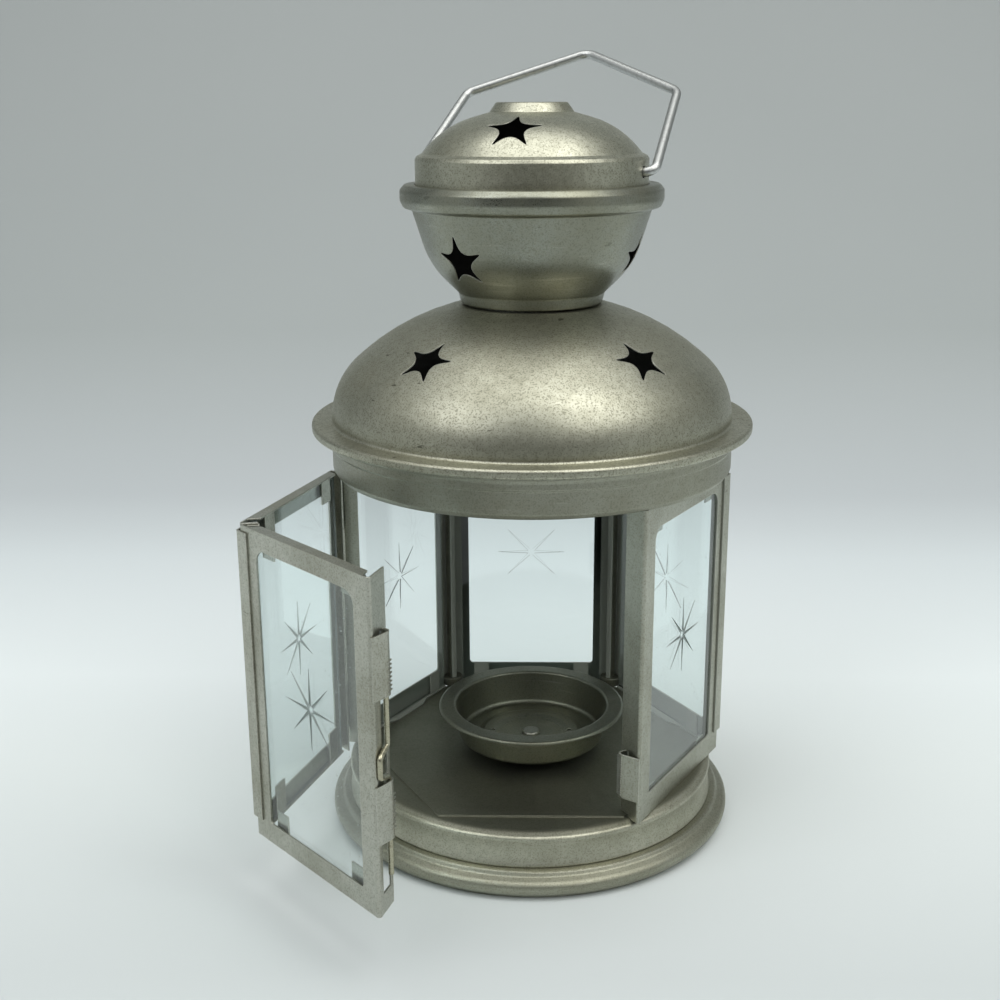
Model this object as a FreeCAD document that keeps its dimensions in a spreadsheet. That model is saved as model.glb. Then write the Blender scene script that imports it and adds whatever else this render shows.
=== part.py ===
import FreeCAD, Part
import math
import os
import re
import Sketcher
from FreeCAD import Placement, Rotation, Vector

# Punched tin candle lantern: a round base pan, a hexagonal room of six glazed sheet frames,
# a crown ring, a spun dome with punched stars, a vent bowl with its cap, and a wire bail.
# Two of the six frames are joined as a door that hangs on the left corner.
# All lengths are in millimetres. The origin is the middle of the base, on the table, with Z up.

# Driving sizes, written into the spreadsheet below
SIZES = {
    # Sheet metal
    "sheet": 0.5,
    "fold_radius": 0.8,
    "touch_gap": 0.03,
    "overrun": 3.0,
    # Hexagonal room
    "corner_inset": 2.7,
    "frame_height": 97.4,
    "stile_width": 8.45,
    "head_height": 6.9,
    "window_head_round": 4.0,
    "window_foot_round": 1.2,
    "sill_height": 7.2,
    "rail_depth": 3.4,
    "rail_inset": 4.6,
    "rail_taper": 2.0,
    "foot_tab_depth": 5.2,
    "foot_tab_width": 13.8,
    "foot_tab_root": 24.0,
    # Panes and their clips
    "glass_thickness": 2.0,
    "glass_margin": 6.0,
    "glass_headroom": 0.3,
    "clip_width": 5.5,
    "door_clip_overlap": 4.2,
    "wall_clip_overlap": 0.8,
    "head_clip_overlap": 2.2,
    "clip_place": 12.8,
    "ray_length": 12.0,
    "ray_width": 1.1,
    "ray_depth": 0.4,
    "star_height": 50.5,
    # Corner seams
    "seam_flange": 5.5,
    "cover_sheet": 0.5,
    "cover_width": 4.6,
    "cover_fold": 0.5,
    "cover_foot_gap": 6.7,
    "cover_head_gap": 3.2,
    "strip_sheet": 0.4,
    "strip_start": 2.5,
    # Door
    "door_gap_below": 0.9,
    "door_gap_above": 1.5,
    # Hinge
    "hinge_setback": 2.2,
    "hinge_pin_radius": 0.85,
    "hinge_play": 0.07,
    "knuckle_wall": 0.58,
    "knuckle_gap": 0.4,
    "low_post_knuckle_foot": 5.2,
    "low_post_knuckle_height": 16.0,
    "low_door_knuckle_height": 19.6,
    "high_post_knuckle_height": 16.0,
    "high_post_knuckle_drop": 6.2,
    "high_door_knuckle_height": 19.6,
    "pin_head_radius": 1.4,
    "pin_head_height": 0.7,
    # Latch
    "latch_gap": 2.5,
    "latch_flange": 9.4,
    "latch_depth": 7.0,
    "latch_wire_radius": 0.75,
    "latch_play": 0.07,
    "latch_standoff": 0.85,
    "band_sheet": 0.45,
    "loop_start": 0.9,
    "lance_width": 1.2,
    "latch_slot_width": 3.2,
    "loop_gap": 0.8,
    "post_loop_foot": 7.2,
    "post_loop_height": 14.2,
    "low_door_loop_height": 16.8,
    "latch_slot_height": 23.7,
    "high_door_loop_height": 17.5,
    "crank_reach": 5.0,
    "crank_height": 8.9,
    "crank_rise": 1.6,
    "crank_round": 1.1,
    "latch_tail": 28.6,
    "latch_head": 28.5,
    # Base
    "base_radius": 65.0,
    "base_height": 18.8,
    "foot_height": 8.0,
    "foot_flat_inset": 2.7,
    "foot_lip": 2.6,
    "foot_belly_low": 2.6,
    "foot_belly_high": 5.4,
    "foot_belly_round": 2.2,
    "seat_inset": 5.5,
    "seat_lip": 2.4,
    "waist_depth": 1.5,
    "waist_height": 4.8,
    "waist_round": 12.0,
    "rim_drop": 1.3,
    "rim_round": 1.2,
    "deck_margin": 0.4,
    "deck_round": 4.0,
    "plateau_inset": 3.5,
    "plateau_rise": 0.5,
    "relief_gap": 0.3,
    # Candle cup
    "spacer_radius": 6.0,
    "spacer_height": 3.6,
    "cup_height": 11.5,
    "cup_mouth_radius": 25.0,
    "cup_floor_radius": 23.3,
    "cup_flange_radius": 30.5,
    "cup_curl": 0.9,
    "cup_corner_round": 1.6,
    "cup_ring_rise": 0.9,
    "cup_ring_inner": 10.5,
    "cup_ring_outer": 15.5,
    "cup_ring_ramp": 2.0,
    "cup_mark_radius": 0.8,
    "cup_mark_place": 12.6,
    "rivet_radius": 1.5,
    "rivet_head_radius": 3.0,
    "rivet_head_height": 1.0,
    # Crown ring
    "crown_inset": 0.3,
    "crown_height": 13.1,
    "crown_flange": 16.0,
    "crown_foot_rise": 1.6,
    "crown_foot_inset": 1.2,
    "crown_step": 0.5,
    "crown_step_height": 8.2,
    "crown_lip": 3.4,
    "crown_cove_round": 2.2,
    # Dome
    "dome_inset": 0.3,
    "dome_rise": 34.7,
    "dome_rim_reach": 6.4,
    "dome_rim_height": 2.8,
    "dome_hem": 3.0,
    "dome_shoulder_round": 23.0,
    "vent_seat_radius": 22.7,
    "vent_hole_radius": 18.5,
    "star_tip": 6.6,
    "star_waist": 2.5,
    "star_tip_round": 0.3,
    "star_side_round": 4.0,
    # Vent bowl
    "bowl_height": 35.7,
    "bowl_neck_radius": 21.6,
    "bowl_neck_height": 3.4,
    "bowl_belly_radius": 30.8,
    "bowl_belly_height": 12.1,
    "bowl_belly_round": 26.0,
    "bowl_rim_radius": 35.9,
    "bowl_bead_height": 7.3,
    "bowl_bead_radius": 39.4,
    "bowl_bead_round": 1.7,
    "bowl_star_radius": 31.1,
    # Vent cap
    "collar_radius": 34.8,
    "collar_height": 7.5,
    "collar_tail": 3.5,
    "collar_fit": 0.1,
    "cap_rise": 15.7,
    "cap_bevel": 2.2,
    "cap_bevel_rise": 1.3,
    "cap_dome_radius": 22.5,
    "button_radius": 11.6,
    "button_height": 2.4,
    "button_round": 1.8,
    "cap_star_radius": 23.5,
    # Bail
    "bail_wire_radius": 1.4,
    "bail_play": 0.08,
    "bail_eye_rise": 3.7,
    "bail_half_span": 37.9,
    "bail_tail": 6.9,
    "bail_shoulder_half": 34.9,
    "bail_shoulder_height": 39.0,
    "bail_height": 60.0,
    "bail_foot_round": 3.0,
    "bail_shoulder_round": 4.2,
    "bail_crown_round": 5.0,
}

# Angles in degrees, and heights of the curved outlines as shares of the rise that carries them
DOOR_OPEN = 47.3
HEXAGON_TURN = 60
BAIL_AZIMUTH = -21.5
BAIL_LEAN = 55.0
# A corner rounded by part of a ball about the axis, instead of by a named size.
BALL = "ball"

DOME_STAR_AZIMUTHS = [-129.5, -49.0, 44.2, 137.3]
DOME_STAR_TILT = 53.0
BOWL_STAR_AZIMUTHS = [-132.0, -15.0, 106.5]
BOWL_STAR_TILT = -26.0
CAP_STAR_AZIMUTHS = [-104.0, 16.0, 136.0]
CAP_STAR_TILT = 50.0
DOME_SHOULDER_SHARE = 0.36
DOME_CROWN_SHARES = (0.63, 0.86)
DOME_STAR_SHARE = 0.68
DOME_STAR_RADIUS_SHARE = 0.765
BOWL_STAR_SHARE = 0.42
CAP_STAR_SHARE = 0.5
CAP_CURVE_SHARE = 0.66
ROUND_ROOM_SHARE = 0.95
PROBE_SHARE = 0.3

# Sizes that follow others, so that what stands on or fits into another piece keeps to it
FOLLOWING = {
    "corner_radius": "(base_radius - corner_inset)",
    "foot_flat_radius": "(base_radius - foot_flat_inset)",
    "seat_radius": "(base_radius - seat_inset)",
    "plateau_radius": "(seat_radius - plateau_inset)",
    "window_width": "(corner_radius - 2 * stile_width)",
    "window_height": "(frame_height - sill_height - head_height)",
    "crown_radius": "(corner_radius - crown_inset)",
    "crown_mouth_radius": "(crown_radius - crown_flange)",
    "dome_radius": "(crown_radius - dome_inset)",
    "dome_rim_radius": "(dome_radius + dome_rim_reach)",
}

# Heights of the stack, each from the sizes below it
DECK = "base_height"
ROOM_TOP = f"({DECK} + frame_height)"
DOME_FOOT = f"({ROOM_TOP} + crown_height)"
DOME_LEDGE = f"({DOME_FOOT} + dome_rim_height)"
DOME_TOP = f"({DOME_LEDGE} + dome_rise)"
BOWL_TOP = f"({DOME_TOP} + bowl_height)"
CUP_FOOT = f"({DECK} + plateau_rise + spacer_height)"

doc = FreeCAD.newDocument("tin_lantern")
sizes = doc.addObject("Spreadsheet::Sheet", "sizes")
for row, (alias, number) in enumerate(SIZES.items(), start=1):
    sizes.set(f"A{row}", alias.replace("_", " "))
    sizes.set(f"B{row}", str(number))
    sizes.setAlias(f"B{row}", alias)
doc.recompute()

UP = Vector(0, 0, 1)
SIDEWAYS = Vector(0, 1, 0)
UPRIGHT = Placement(Vector(0, 0, 0), Rotation(Vector(1, 0, 0), 90))
sub_parts = []


# Spreadsheet expressions


def linked(text):
    """The expression with every size name pointed at the spreadsheet, or at the sizes that it follows."""
    def target(word):
        if word[0] in FOLLOWING:
            return linked(FOLLOWING[word[0]])
        return f"sizes.{word[0]}" if word[0] in SIZES else word[0]

    return re.sub(r"[a-z][a-z_]+", target, text)


def value(text):
    """What an expression of size names comes to, in millimetres."""
    return float(sizes.evalExpression(linked(text)))


def bind(item, **expressions):
    """Tie properties of a document object to expressions of size names."""
    for name, text in expressions.items():
        item.setExpression(name, linked(text))


def lift(item, text):
    """Tie the height of a document object to an expression."""
    item.setExpression(".Placement.Base.z", linked(text))


# Sketches


def corner_arc(before, corner, after, asked):
    """Start, end, centre and radius of the arc that rounds a corner, no larger than its legs allow."""
    to_before = before - corner
    to_after = after - corner
    half_angle = to_before.getAngle(to_after) / 2
    room = min(to_before.Length, to_after.Length) * ROUND_ROOM_SHARE
    radius = min(asked, room * math.tan(half_angle))
    to_before.normalize()
    to_after.normalize()
    tangent = radius / math.tan(half_angle)
    centre = corner + (to_before + to_after).normalize() * (radius / math.sin(half_angle))
    return corner + to_before * tangent, corner + to_after * tangent, centre, radius


def add_arc(sketch, start, end, centre, radius):
    """Add the short arc from start to end, and say which of its ends is the start."""
    turns_left = (start - centre).cross(end - centre).z > 0
    first, last = (start, end) if turns_left else (end, start)
    angles = [math.atan2(point.y - centre.y, point.x - centre.x) for point in (first, last)]
    if angles[1] < angles[0]:
        angles[1] += 2 * math.pi
    circle = Part.Circle(centre, UP, radius)
    arc = sketch.addGeometry(Part.ArcOfCircle(circle, *angles), False)
    return arc, (1, 2) if turns_left else (2, 1)


def ball_radius(before, corner, after):
    """Radius of the arc that rounds a corner about a centre on the axis, so that it turns into a ball."""
    to_before = (before - corner).normalize()
    to_after = (after - corner).normalize()
    half_angle = to_before.getAngle(to_after) / 2
    inward = (to_before + to_after).normalize()
    return -corner.x * math.sin(half_angle) / inward.x


def outline(sketch, corners, closed=True):
    """Draw a line through corners given as (x, y) or (x, y, rounding) expressions, fully constrained."""
    count = len(corners)
    points = [Vector(value(corner[0]), value(corner[1]), 0) for corner in corners]
    arcs = {}
    for index, corner in enumerate(corners):
        if len(corner) == 3:
            around = points[index - 1], points[index], points[(index + 1) % count]
            asked = ball_radius(*around) if corner[2] == BALL else value(corner[2])
            arcs[index] = corner_arc(*around, asked)
    line_count = count if closed else count - 1
    for index in range(line_count):
        following = (index + 1) % count
        start = arcs[index][1] if index in arcs else points[index]
        end = arcs[following][0] if following in arcs else points[following]
        sketch.addGeometry(Part.LineSegment(start, end), False)
    constraints = []
    expressions = {}

    def pin_to_sizes(geometry, end, index):
        for axis, text, number in zip("XY", corners[index], points[index]):
            expressions[len(constraints)] = text
            constraints.append(Sketcher.Constraint("Distance" + axis, -1, 1, geometry, end, number))

    for index in range(count):
        before = (index - 1) % line_count if closed or index > 0 else None
        after = index if closed or index < count - 1 else None
        if index in arcs:
            arc, (arc_start, arc_end) = add_arc(sketch, *arcs[index])
            point = sketch.addGeometry(Part.Point(points[index]), True)
            constraints.append(Sketcher.Constraint("Tangent", before, 2, arc, arc_start))
            constraints.append(Sketcher.Constraint("Tangent", after, 1, arc, arc_end))
            constraints.append(Sketcher.Constraint("PointOnObject", point, 1, before))
            constraints.append(Sketcher.Constraint("PointOnObject", point, 1, after))
            asked = corners[index][2]
            if asked != BALL and arcs[index][3] == value(asked):
                expressions[len(constraints)] = asked
            constraints.append(Sketcher.Constraint("Radius", arc, arcs[index][3]))
            pin_to_sizes(point, 1, index)
        elif before is None:
            pin_to_sizes(after, 1, index)
        else:
            if after is not None:
                constraints.append(Sketcher.Constraint("Coincident", before, 2, after, 1))
            pin_to_sizes(before, 2, index)
    sketch.addConstraint(constraints)
    for index, text in expressions.items():
        sketch.setExpression(f"Constraints[{index}]", linked(text))
    return sketch


def circle(sketch, x, y, radius):
    """Add a circle whose centre and radius are expressions."""
    centre = Vector(value(x), value(y), 0)
    ring = sketch.addGeometry(Part.Circle(centre, UP, value(radius)), False)
    for kind, text in (("DistanceX", x), ("DistanceY", y)):
        index = sketch.addConstraint(Sketcher.Constraint(kind, -1, 1, ring, 3, value(text)))
        sketch.setExpression(f"Constraints[{index}]", linked(text))
    index = sketch.addConstraint(Sketcher.Constraint("Radius", ring, value(radius)))
    sketch.setExpression(f"Constraints[{index}]", linked(radius))
    return sketch


def free_sketch(name, placement=Placement()):
    """A sketch that belongs to no body."""
    sketch = doc.addObject("Sketcher::SketchObject", name)
    sketch.Placement = placement
    return sketch


# Sheet metal: a band of sheet along an open line, turned or drawn out


def band(name, corners, placement, side="left", thickness="sheet"):
    """The section of a sheet whose one face follows an open line, on the left or right of its travel."""
    line = outline(free_sketch(name + "_line", placement), corners, closed=False)
    section = doc.addObject("Part::Offset2D", name + "_section")
    section.Source = line
    section.Mode = "Skin"
    section.Fill = True
    section.Join = 2
    bind(section, Value=thickness)
    doc.recompute()
    # An open line has no outside of its own, so the side that came out is looked at
    start, end = [Vector(value(corner[0]), value(corner[1]), 0) for corner in corners[:2]]
    leg = end - start
    across = UP.cross(leg).normalize() * (value(thickness) / 2)
    probe = start + leg * PROBE_SHARE + (across if side == "left" else -across)
    if not section.Shape.isInside(placement.multVec(probe), value("touch_gap"), True):
        bind(section, Value=f"-{thickness}")
    return section


def turned(name, corners, side="left"):
    """A spun or pressed round shell from the section of its sheet."""
    shell = doc.addObject("Part::Revolution", name)
    shell.Source = band(name, corners, UPRIGHT, side)
    shell.Axis = UP
    shell.Angle = 360
    shell.Solid = True
    return shell


def drawn_out(name, source, length, foot=None, direction=UP):
    """A profile drawn out along a direction, lifted to its foot if it has one."""
    solid = doc.addObject("Part::Extrusion", name)
    solid.Base = source
    solid.DirMode = "Custom"
    solid.Dir = direction
    solid.Solid = True
    bind(solid, LengthFwd=length)
    if foot is not None:
        lift(solid, foot)
    return solid


def prism(name, corners, length, foot=None):
    """A straight prism over a closed outline in the XY plane."""
    return drawn_out(name, outline(free_sketch(name + "_outline"), corners), length, foot)


def hexagon(name, radius, height, foot):
    """A hexagonal prism about the lantern's axis, with a corner on the X axis."""
    solid = doc.addObject("Part::Prism", name)
    solid.Polygon = 6
    bind(solid, Circumradius=radius, Height=height)
    lift(solid, foot)
    return solid


def cylinder(name, radius, height, foot, x="0", y="0"):
    """An upright cylinder."""
    solid = doc.addObject("Part::Cylinder", name)
    bind(solid, Radius=radius, Height=height)
    solid.setExpression(".Placement.Base.x", linked(x))
    solid.setExpression(".Placement.Base.y", linked(y))
    lift(solid, foot)
    return solid


def box(name, x, y, z, length, width, height):
    """A box from its low corner."""
    solid = doc.addObject("Part::Box", name)
    bind(solid, Length=length, Width=width, Height=height)
    for axis, text in zip("xyz", (x, y, z)):
        solid.setExpression(f".Placement.Base.{axis}", linked(text))
    return solid


def joined(name, pieces):
    """Several solids as one."""
    solid = doc.addObject("Part::MultiFuse", name)
    solid.Shapes = pieces
    return solid


def cut_away(name, solid, tools):
    """A solid less its cutting tools."""
    tool = tools[0] if len(tools) == 1 else joined(name + "_cutters", tools)
    result = doc.addObject("Part::Cut", name)
    result.Base = solid
    result.Tool = tool
    return result


def sub_part(label, item, placement=None):
    """Name a finished piece, put it in its place and list it for export."""
    item.Label = label
    if placement is not None:
        item.Placement = placement
    sub_parts.append(item)
    return item


# Solid pieces as bodies


def new_body(name):
    """An empty body."""
    return doc.addObject("PartDesign::Body", name + "_body")


def body_sketch(body, name, role="XY_Plane"):
    """A sketch on one of the body's own origin planes."""
    sketch = body.newObject("Sketcher::SketchObject", name)
    plane = next(feature for feature in body.Origin.OriginFeatures if feature.Role == role)
    sketch.AttachmentSupport = [(plane, "")]
    sketch.MapMode = "FlatFace"
    return sketch


def pad(body, sketch, length, backwards=False):
    """Pad a sketch of the body."""
    feature = body.newObject("PartDesign::Pad", sketch.Name + "_pad")
    feature.Profile = sketch
    feature.Reversed = backwards
    bind(feature, Length=length)
    return feature


def spin(body, sketch):
    """Turn a half outline of the body once round its upright axis."""
    feature = body.newObject("PartDesign::Revolution", sketch.Name + "_turn")
    feature.Profile = sketch
    feature.ReferenceAxis = (sketch, ["V_Axis"])
    feature.Angle = 360
    return feature


def wire_form(label, corners, radius, role="XZ_Plane"):
    """A body of round wire bent along a line in one plane, starting square to that line's first leg."""
    body = new_body(label)
    path = outline(body_sketch(body, label + "_path", role), corners, closed=False)
    doc.recompute()
    first, second = [Vector(value(corner[0]), value(corner[1]), 0) for corner in corners[:2]]
    profile = body.newObject("Sketcher::SketchObject", label + "_wire")
    start = path.Placement.multVec(first)
    heading = path.Placement.Rotation.multVec(second - first)
    profile.Placement = Placement(start, Rotation(UP, heading))
    ring = profile.addGeometry(Part.Circle(Vector(0, 0, 0), UP, value(radius)), False)
    profile.addConstraint(Sketcher.Constraint("Coincident", ring, 3, -1, 1))
    size = profile.addConstraint(Sketcher.Constraint("Radius", ring, value(radius)))
    profile.setExpression(f"Constraints[{size}]", linked(radius))
    pipe = body.newObject("PartDesign::AdditivePipe", label + "_pipe")
    pipe.Profile = profile
    pipe.Spine = (path, [f"Edge{number + 1}" for number in range(len(path.Shape.Edges))])
    return body


# Places


def corner_point(azimuth):
    """A corner of the hexagon, on the table."""
    reach = value("corner_radius")
    angle = math.radians(azimuth)
    return Vector(reach * math.cos(angle), reach * math.sin(angle), 0)


def door_swing(placement):
    """A place on the door, swung open about the hinge corner."""
    hinge = corner_point(3 * HEXAGON_TURN)
    return Placement(Vector(0, 0, 0), Rotation(UP, -DOOR_OPEN), hinge) * placement


def panel_place(azimuth, height=DECK, on_door=False):
    """Where a wall of the room stands: X along the wall from its first corner, Y inward."""
    foot = corner_point(azimuth) + UP * value(height)
    placement = Placement(foot, Rotation(UP, azimuth + 2 * HEXAGON_TURN))
    return door_swing(placement) if on_door else placement


def corner_place(azimuth, height=DECK, on_door=False):
    """Where a corner piece stands: X inward along the corner's own plane."""
    foot = corner_point(azimuth) + UP * value(height)
    placement = Placement(foot, Rotation(UP, azimuth + 3 * HEXAGON_TURN))
    return door_swing(placement) if on_door else placement


# Base


def base_foot():
    """Rolled foot ring: it stands on its flat underside and carries the pan on its upper lip."""
    return turned("base_foot_ring", [
        ("foot_flat_radius - foot_lip", "0"),
        ("foot_flat_radius", "0", "foot_belly_round / 4"),
        ("base_radius", "foot_belly_low", "foot_belly_round"),
        ("base_radius", "foot_belly_high", "foot_belly_round"),
        ("seat_radius + foot_lip", "(foot_belly_high + foot_height) / 2", "fold_radius"),
        ("seat_radius + foot_lip - fold_radius", "foot_height", "fold_radius"),
        ("seat_radius - seat_lip", "foot_height"),
    ])


def base_pan():
    """Waisted pan with the flat deck and its raised hexagon, folded in to a lip that sits on the foot."""
    deck_radius = "plateau_radius + deck_margin"
    waist_radius = "seat_radius - waist_depth"
    shell = turned("base_pan_shell", [
        ("seat_radius - seat_lip", "foot_height"),
        ("seat_radius", "foot_height", "fold_radius / 2"),
        (waist_radius, "foot_height + waist_height", "waist_round"),
        ("seat_radius", "base_height - rim_drop", "rim_round"),
        (deck_radius, "base_height", "deck_round"),
        ("rivet_radius + touch_gap", "base_height"),
    ])
    raised = hexagon("plateau", "plateau_radius", "plateau_rise + sheet", "base_height - sheet")
    hollow = hexagon("plateau_hollow", "plateau_radius - sheet", "plateau_rise + sheet",
                     "base_height - 2 * sheet")
    bore = cylinder("pan_rivet_bore", "rivet_radius + touch_gap", "overrun", "base_height - overrun / 2")
    pan = cut_away("base_pan", joined("pan_and_plateau", [shell, raised]), [hollow, bore])
    return sub_part("base_pan", pan)


# Candle cup


def cup_spacer():
    """Short tube that holds the cup clear of the deck."""
    body = new_body("cup_spacer")
    rings = body_sketch(body, "spacer_rings")
    circle(rings, "0", "0", "spacer_radius")
    circle(rings, "0", "0", "rivet_radius + touch_gap")
    pad(body, rings, "spacer_height")
    lift(body, f"{DECK} + plateau_rise")
    return sub_part("cup_spacer", body)


def candle_cup():
    """Pressed cup with a flat flange and a raised ring in its floor."""
    floor = f"{CUP_FOOT} + sheet"
    shell = turned("candle_cup_shell", [
        ("rivet_radius + touch_gap", floor),
        ("cup_ring_inner", floor, "fold_radius"),
        ("cup_ring_inner + cup_ring_ramp", f"{floor} + cup_ring_rise", "fold_radius"),
        ("cup_ring_outer", f"{floor} + cup_ring_rise", "fold_radius"),
        ("cup_ring_outer + cup_ring_ramp", floor, "fold_radius"),
        ("cup_floor_radius", floor, "cup_corner_round"),
        ("cup_mouth_radius", f"{CUP_FOOT} + cup_height", "fold_radius"),
        ("cup_flange_radius", f"{CUP_FOOT} + cup_height", "fold_radius"),
        ("cup_flange_radius", f"{CUP_FOOT} + cup_height - cup_curl"),
    ], "right")
    marks = [
        cylinder(f"cup_mark_{side}", "cup_mark_radius", "overrun * 2", f"{CUP_FOOT} - overrun",
                 x=f"{sign}cup_mark_place")
        for side, sign in (("left", "-"), ("right", ""))
    ]
    return sub_part("candle_cup", cut_away("candle_cup", shell, marks))


def cup_rivet():
    """Rivet through cup, spacer and deck, with a domed head above and a flat one below."""
    body = new_body("cup_rivet")
    grip = "(spacer_height + 2 * sheet)"
    half = outline(body_sketch(body, "rivet_half", "XZ_Plane"), [
        ("0", "-rivet_head_height"),
        ("rivet_head_radius", "-rivet_head_height", "rivet_head_height / 3"),
        ("rivet_head_radius", "0"),
        ("rivet_radius", "0"),
        ("rivet_radius", grip),
        ("rivet_head_radius", grip),
        ("rivet_head_radius", f"{grip} + rivet_head_height", "rivet_head_height * 0.9"),
        ("0", f"{grip} + rivet_head_height"),
    ])
    spin(body, half)
    lift(body, f"{DECK} + plateau_rise - sheet")
    return sub_part("cup_rivet", body)


# Frames of the room
# A corner of a frame is (set-back of its fold from the hexagon's corner, depth of its flange)

SEAM_GAP = "touch_gap"
SEAM_CORNER = (f"({SEAM_GAP} / sin(60))", "seam_flange")
HINGE_CORNER = ("hinge_setback", "seam_flange")
LATCH_CORNER = ("(latch_gap / 2 / sin(60))", "latch_flange")
WALL = "corner_radius"


def rail(name, tab, z):
    """A rail's inward flange, tapered at its ends, with a deeper tab in its middle where asked."""
    half_tab = ("foot_tab_width / 2", "foot_tab_root / 2")
    corners = [
        ("rail_inset", "sheet / 2"),
        ("rail_inset + rail_taper", "rail_depth"),
    ]
    if tab:
        corners += [
            (f"{WALL} / 2 - {half_tab[1]}", "rail_depth"),
            (f"{WALL} / 2 - {half_tab[0]}", "foot_tab_depth"),
            (f"{WALL} / 2 + {half_tab[0]}", "foot_tab_depth"),
            (f"{WALL} / 2 + {half_tab[1]}", "rail_depth"),
        ]
    corners += [
        (f"{WALL} - rail_inset - rail_taper", "rail_depth"),
        (f"{WALL} - rail_inset", "sheet / 2"),
    ]
    return prism(name, corners, "sheet", z)


def clips(name, foot, head, overlap):
    """Four short tongues bent up and down from the rails to hold the glass from behind."""
    back_of_glass = "sheet + glass_thickness + touch_gap"
    lowest = f"{foot} + sheet / 2"
    low_height = f"sill_height + {overlap} - ({lowest})"
    high_foot = "sill_height + window_height - head_clip_overlap"
    high_height = f"{head} - sheet / 2 - ({high_foot})"
    tongues = []
    for side, x in (("first", "clip_place - clip_width / 2"), ("second", f"{WALL} - clip_place - clip_width / 2")):
        tongues.append(box(f"{name}_{side}_foot_clip", x, back_of_glass, lowest, "clip_width", "sheet", low_height))
        tongues.append(box(f"{name}_{side}_head_clip", x, back_of_glass, high_foot,
                           "clip_width", "sheet", high_height))
    return tongues


def frame(label, azimuth, first, last, on_door=False, extras=(), cutters=()):
    """One wall frame: a folded sheet with a rounded window, rails top and bottom, and glass clips."""
    foot = "door_gap_below" if on_door else "0"
    head = "frame_height - door_gap_above" if on_door else "frame_height"
    folded = band(label + "_plan", [
        (f"{first[0]} + {first[1]} * cos(60)", f"{first[1]} * sin(60)"),
        (first[0], "0", "fold_radius"),
        (f"{WALL} - {last[0]}", "0", "fold_radius"),
        (f"{WALL} - {last[0]} - {last[1]} * cos(60)", f"{last[1]} * sin(60)"),
    ], Placement())
    wrap = drawn_out(label + "_wrap", folded, f"{head} - ({foot})", foot)
    window_left = f"({WALL} - window_width) / 2"
    window_right = f"({WALL} + window_width) / 2"
    window_outline = outline(free_sketch(label + "_window_outline", UPRIGHT), [
        (window_left, "sill_height", "window_foot_round"),
        (window_right, "sill_height", "window_foot_round"),
        (window_right, "sill_height + window_height", "window_head_round"),
        (window_left, "sill_height + window_height", "window_head_round"),
    ])
    window = drawn_out(label + "_window", window_outline, "overrun", direction=SIDEWAYS)
    window.setExpression(".Placement.Base.y", linked("-overrun / 2"))
    opened = cut_away(label + "_opened", wrap, [window])
    pieces = [opened, rail(label + "_foot_rail", not on_door, foot)]
    pieces.append(rail(label + "_head_rail", False, f"{head} - sheet"))
    pieces += clips(label, foot, head, "door_clip_overlap" if on_door else "wall_clip_overlap")
    pieces += extras
    solid = joined(label + "_joined", pieces)
    if cutters:
        solid = cut_away(label + "_cut", solid, list(cutters))
    return sub_part(label, solid, panel_place(azimuth, on_door=on_door))


# Hinge at the left corner

LOW_POST_KNUCKLE = ("low_post_knuckle_foot", "low_post_knuckle_height")
LOW_DOOR_KNUCKLE = ("(low_post_knuckle_foot + low_post_knuckle_height + knuckle_gap)", "low_door_knuckle_height")
HIGH_POST_FOOT = "(frame_height - high_post_knuckle_drop - high_post_knuckle_height)"
HIGH_POST_KNUCKLE = (HIGH_POST_FOOT, "high_post_knuckle_height")
HIGH_DOOR_KNUCKLE = (f"({HIGH_POST_FOOT} - knuckle_gap - high_door_knuckle_height)", "high_door_knuckle_height")


def knuckles(name, hinge_x, tongue_x, spans):
    """Rolled knuckles round the hinge pin, each with the tongue of sheet that it is rolled from."""
    reach = "hinge_setback + fold_radius"
    pieces = []
    for number, (foot, height) in enumerate(spans, start=1):
        pieces.append(cylinder(f"{name}_knuckle_{number}", "hinge_pin_radius + hinge_play + knuckle_wall",
                               height, foot, x=hinge_x))
        pieces.append(box(f"{name}_tongue_{number}", tongue_x, "0", foot, reach, "sheet", height))
    bore = cylinder(name + "_bore", "hinge_pin_radius + hinge_play", "frame_height", "0", x=hinge_x)
    return pieces, [bore]


def hinge_pin():
    """Straight hinge pin with a small head at each end."""
    body = new_body("hinge_pin")
    length = "(frame_height - high_post_knuckle_drop - low_post_knuckle_foot + 2 * touch_gap)"
    half = outline(body_sketch(body, "hinge_pin_half", "XZ_Plane"), [
        ("0", "-pin_head_height"),
        ("pin_head_radius", "-pin_head_height", "pin_head_height / 3"),
        ("pin_head_radius", "0"),
        ("hinge_pin_radius", "0"),
        ("hinge_pin_radius", length),
        ("pin_head_radius", length),
        ("pin_head_radius", f"{length} + pin_head_height", "pin_head_height / 3"),
        ("0", f"{length} + pin_head_height"),
    ])
    spin(body, half)
    return sub_part("hinge_pin", body,
                    corner_place(3 * HEXAGON_TURN, f"{DECK} + low_post_knuckle_foot - touch_gap"))


# Latch at the front right corner
# Its bands are drawn in the corner's own plane: X inward from the corner, Y across the gap,
# with the door's flange on the far side of the gap and the post's on the near side

POST_LOOP = ("post_loop_foot", "post_loop_height")
LOW_LOOP_FOOT = "(post_loop_foot + post_loop_height + loop_gap)"
LOW_DOOR_LOOP = (LOW_LOOP_FOOT, "low_door_loop_height")
SLOT_FOOT = f"({LOW_LOOP_FOOT} + low_door_loop_height)"
HIGH_DOOR_LOOP = (f"({SLOT_FOOT} + latch_slot_height)", "high_door_loop_height")
LATCH_LINE = "(latch_gap / 2 - latch_standoff)"
BAND_INNER = "(latch_wire_radius + latch_play)"


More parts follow.
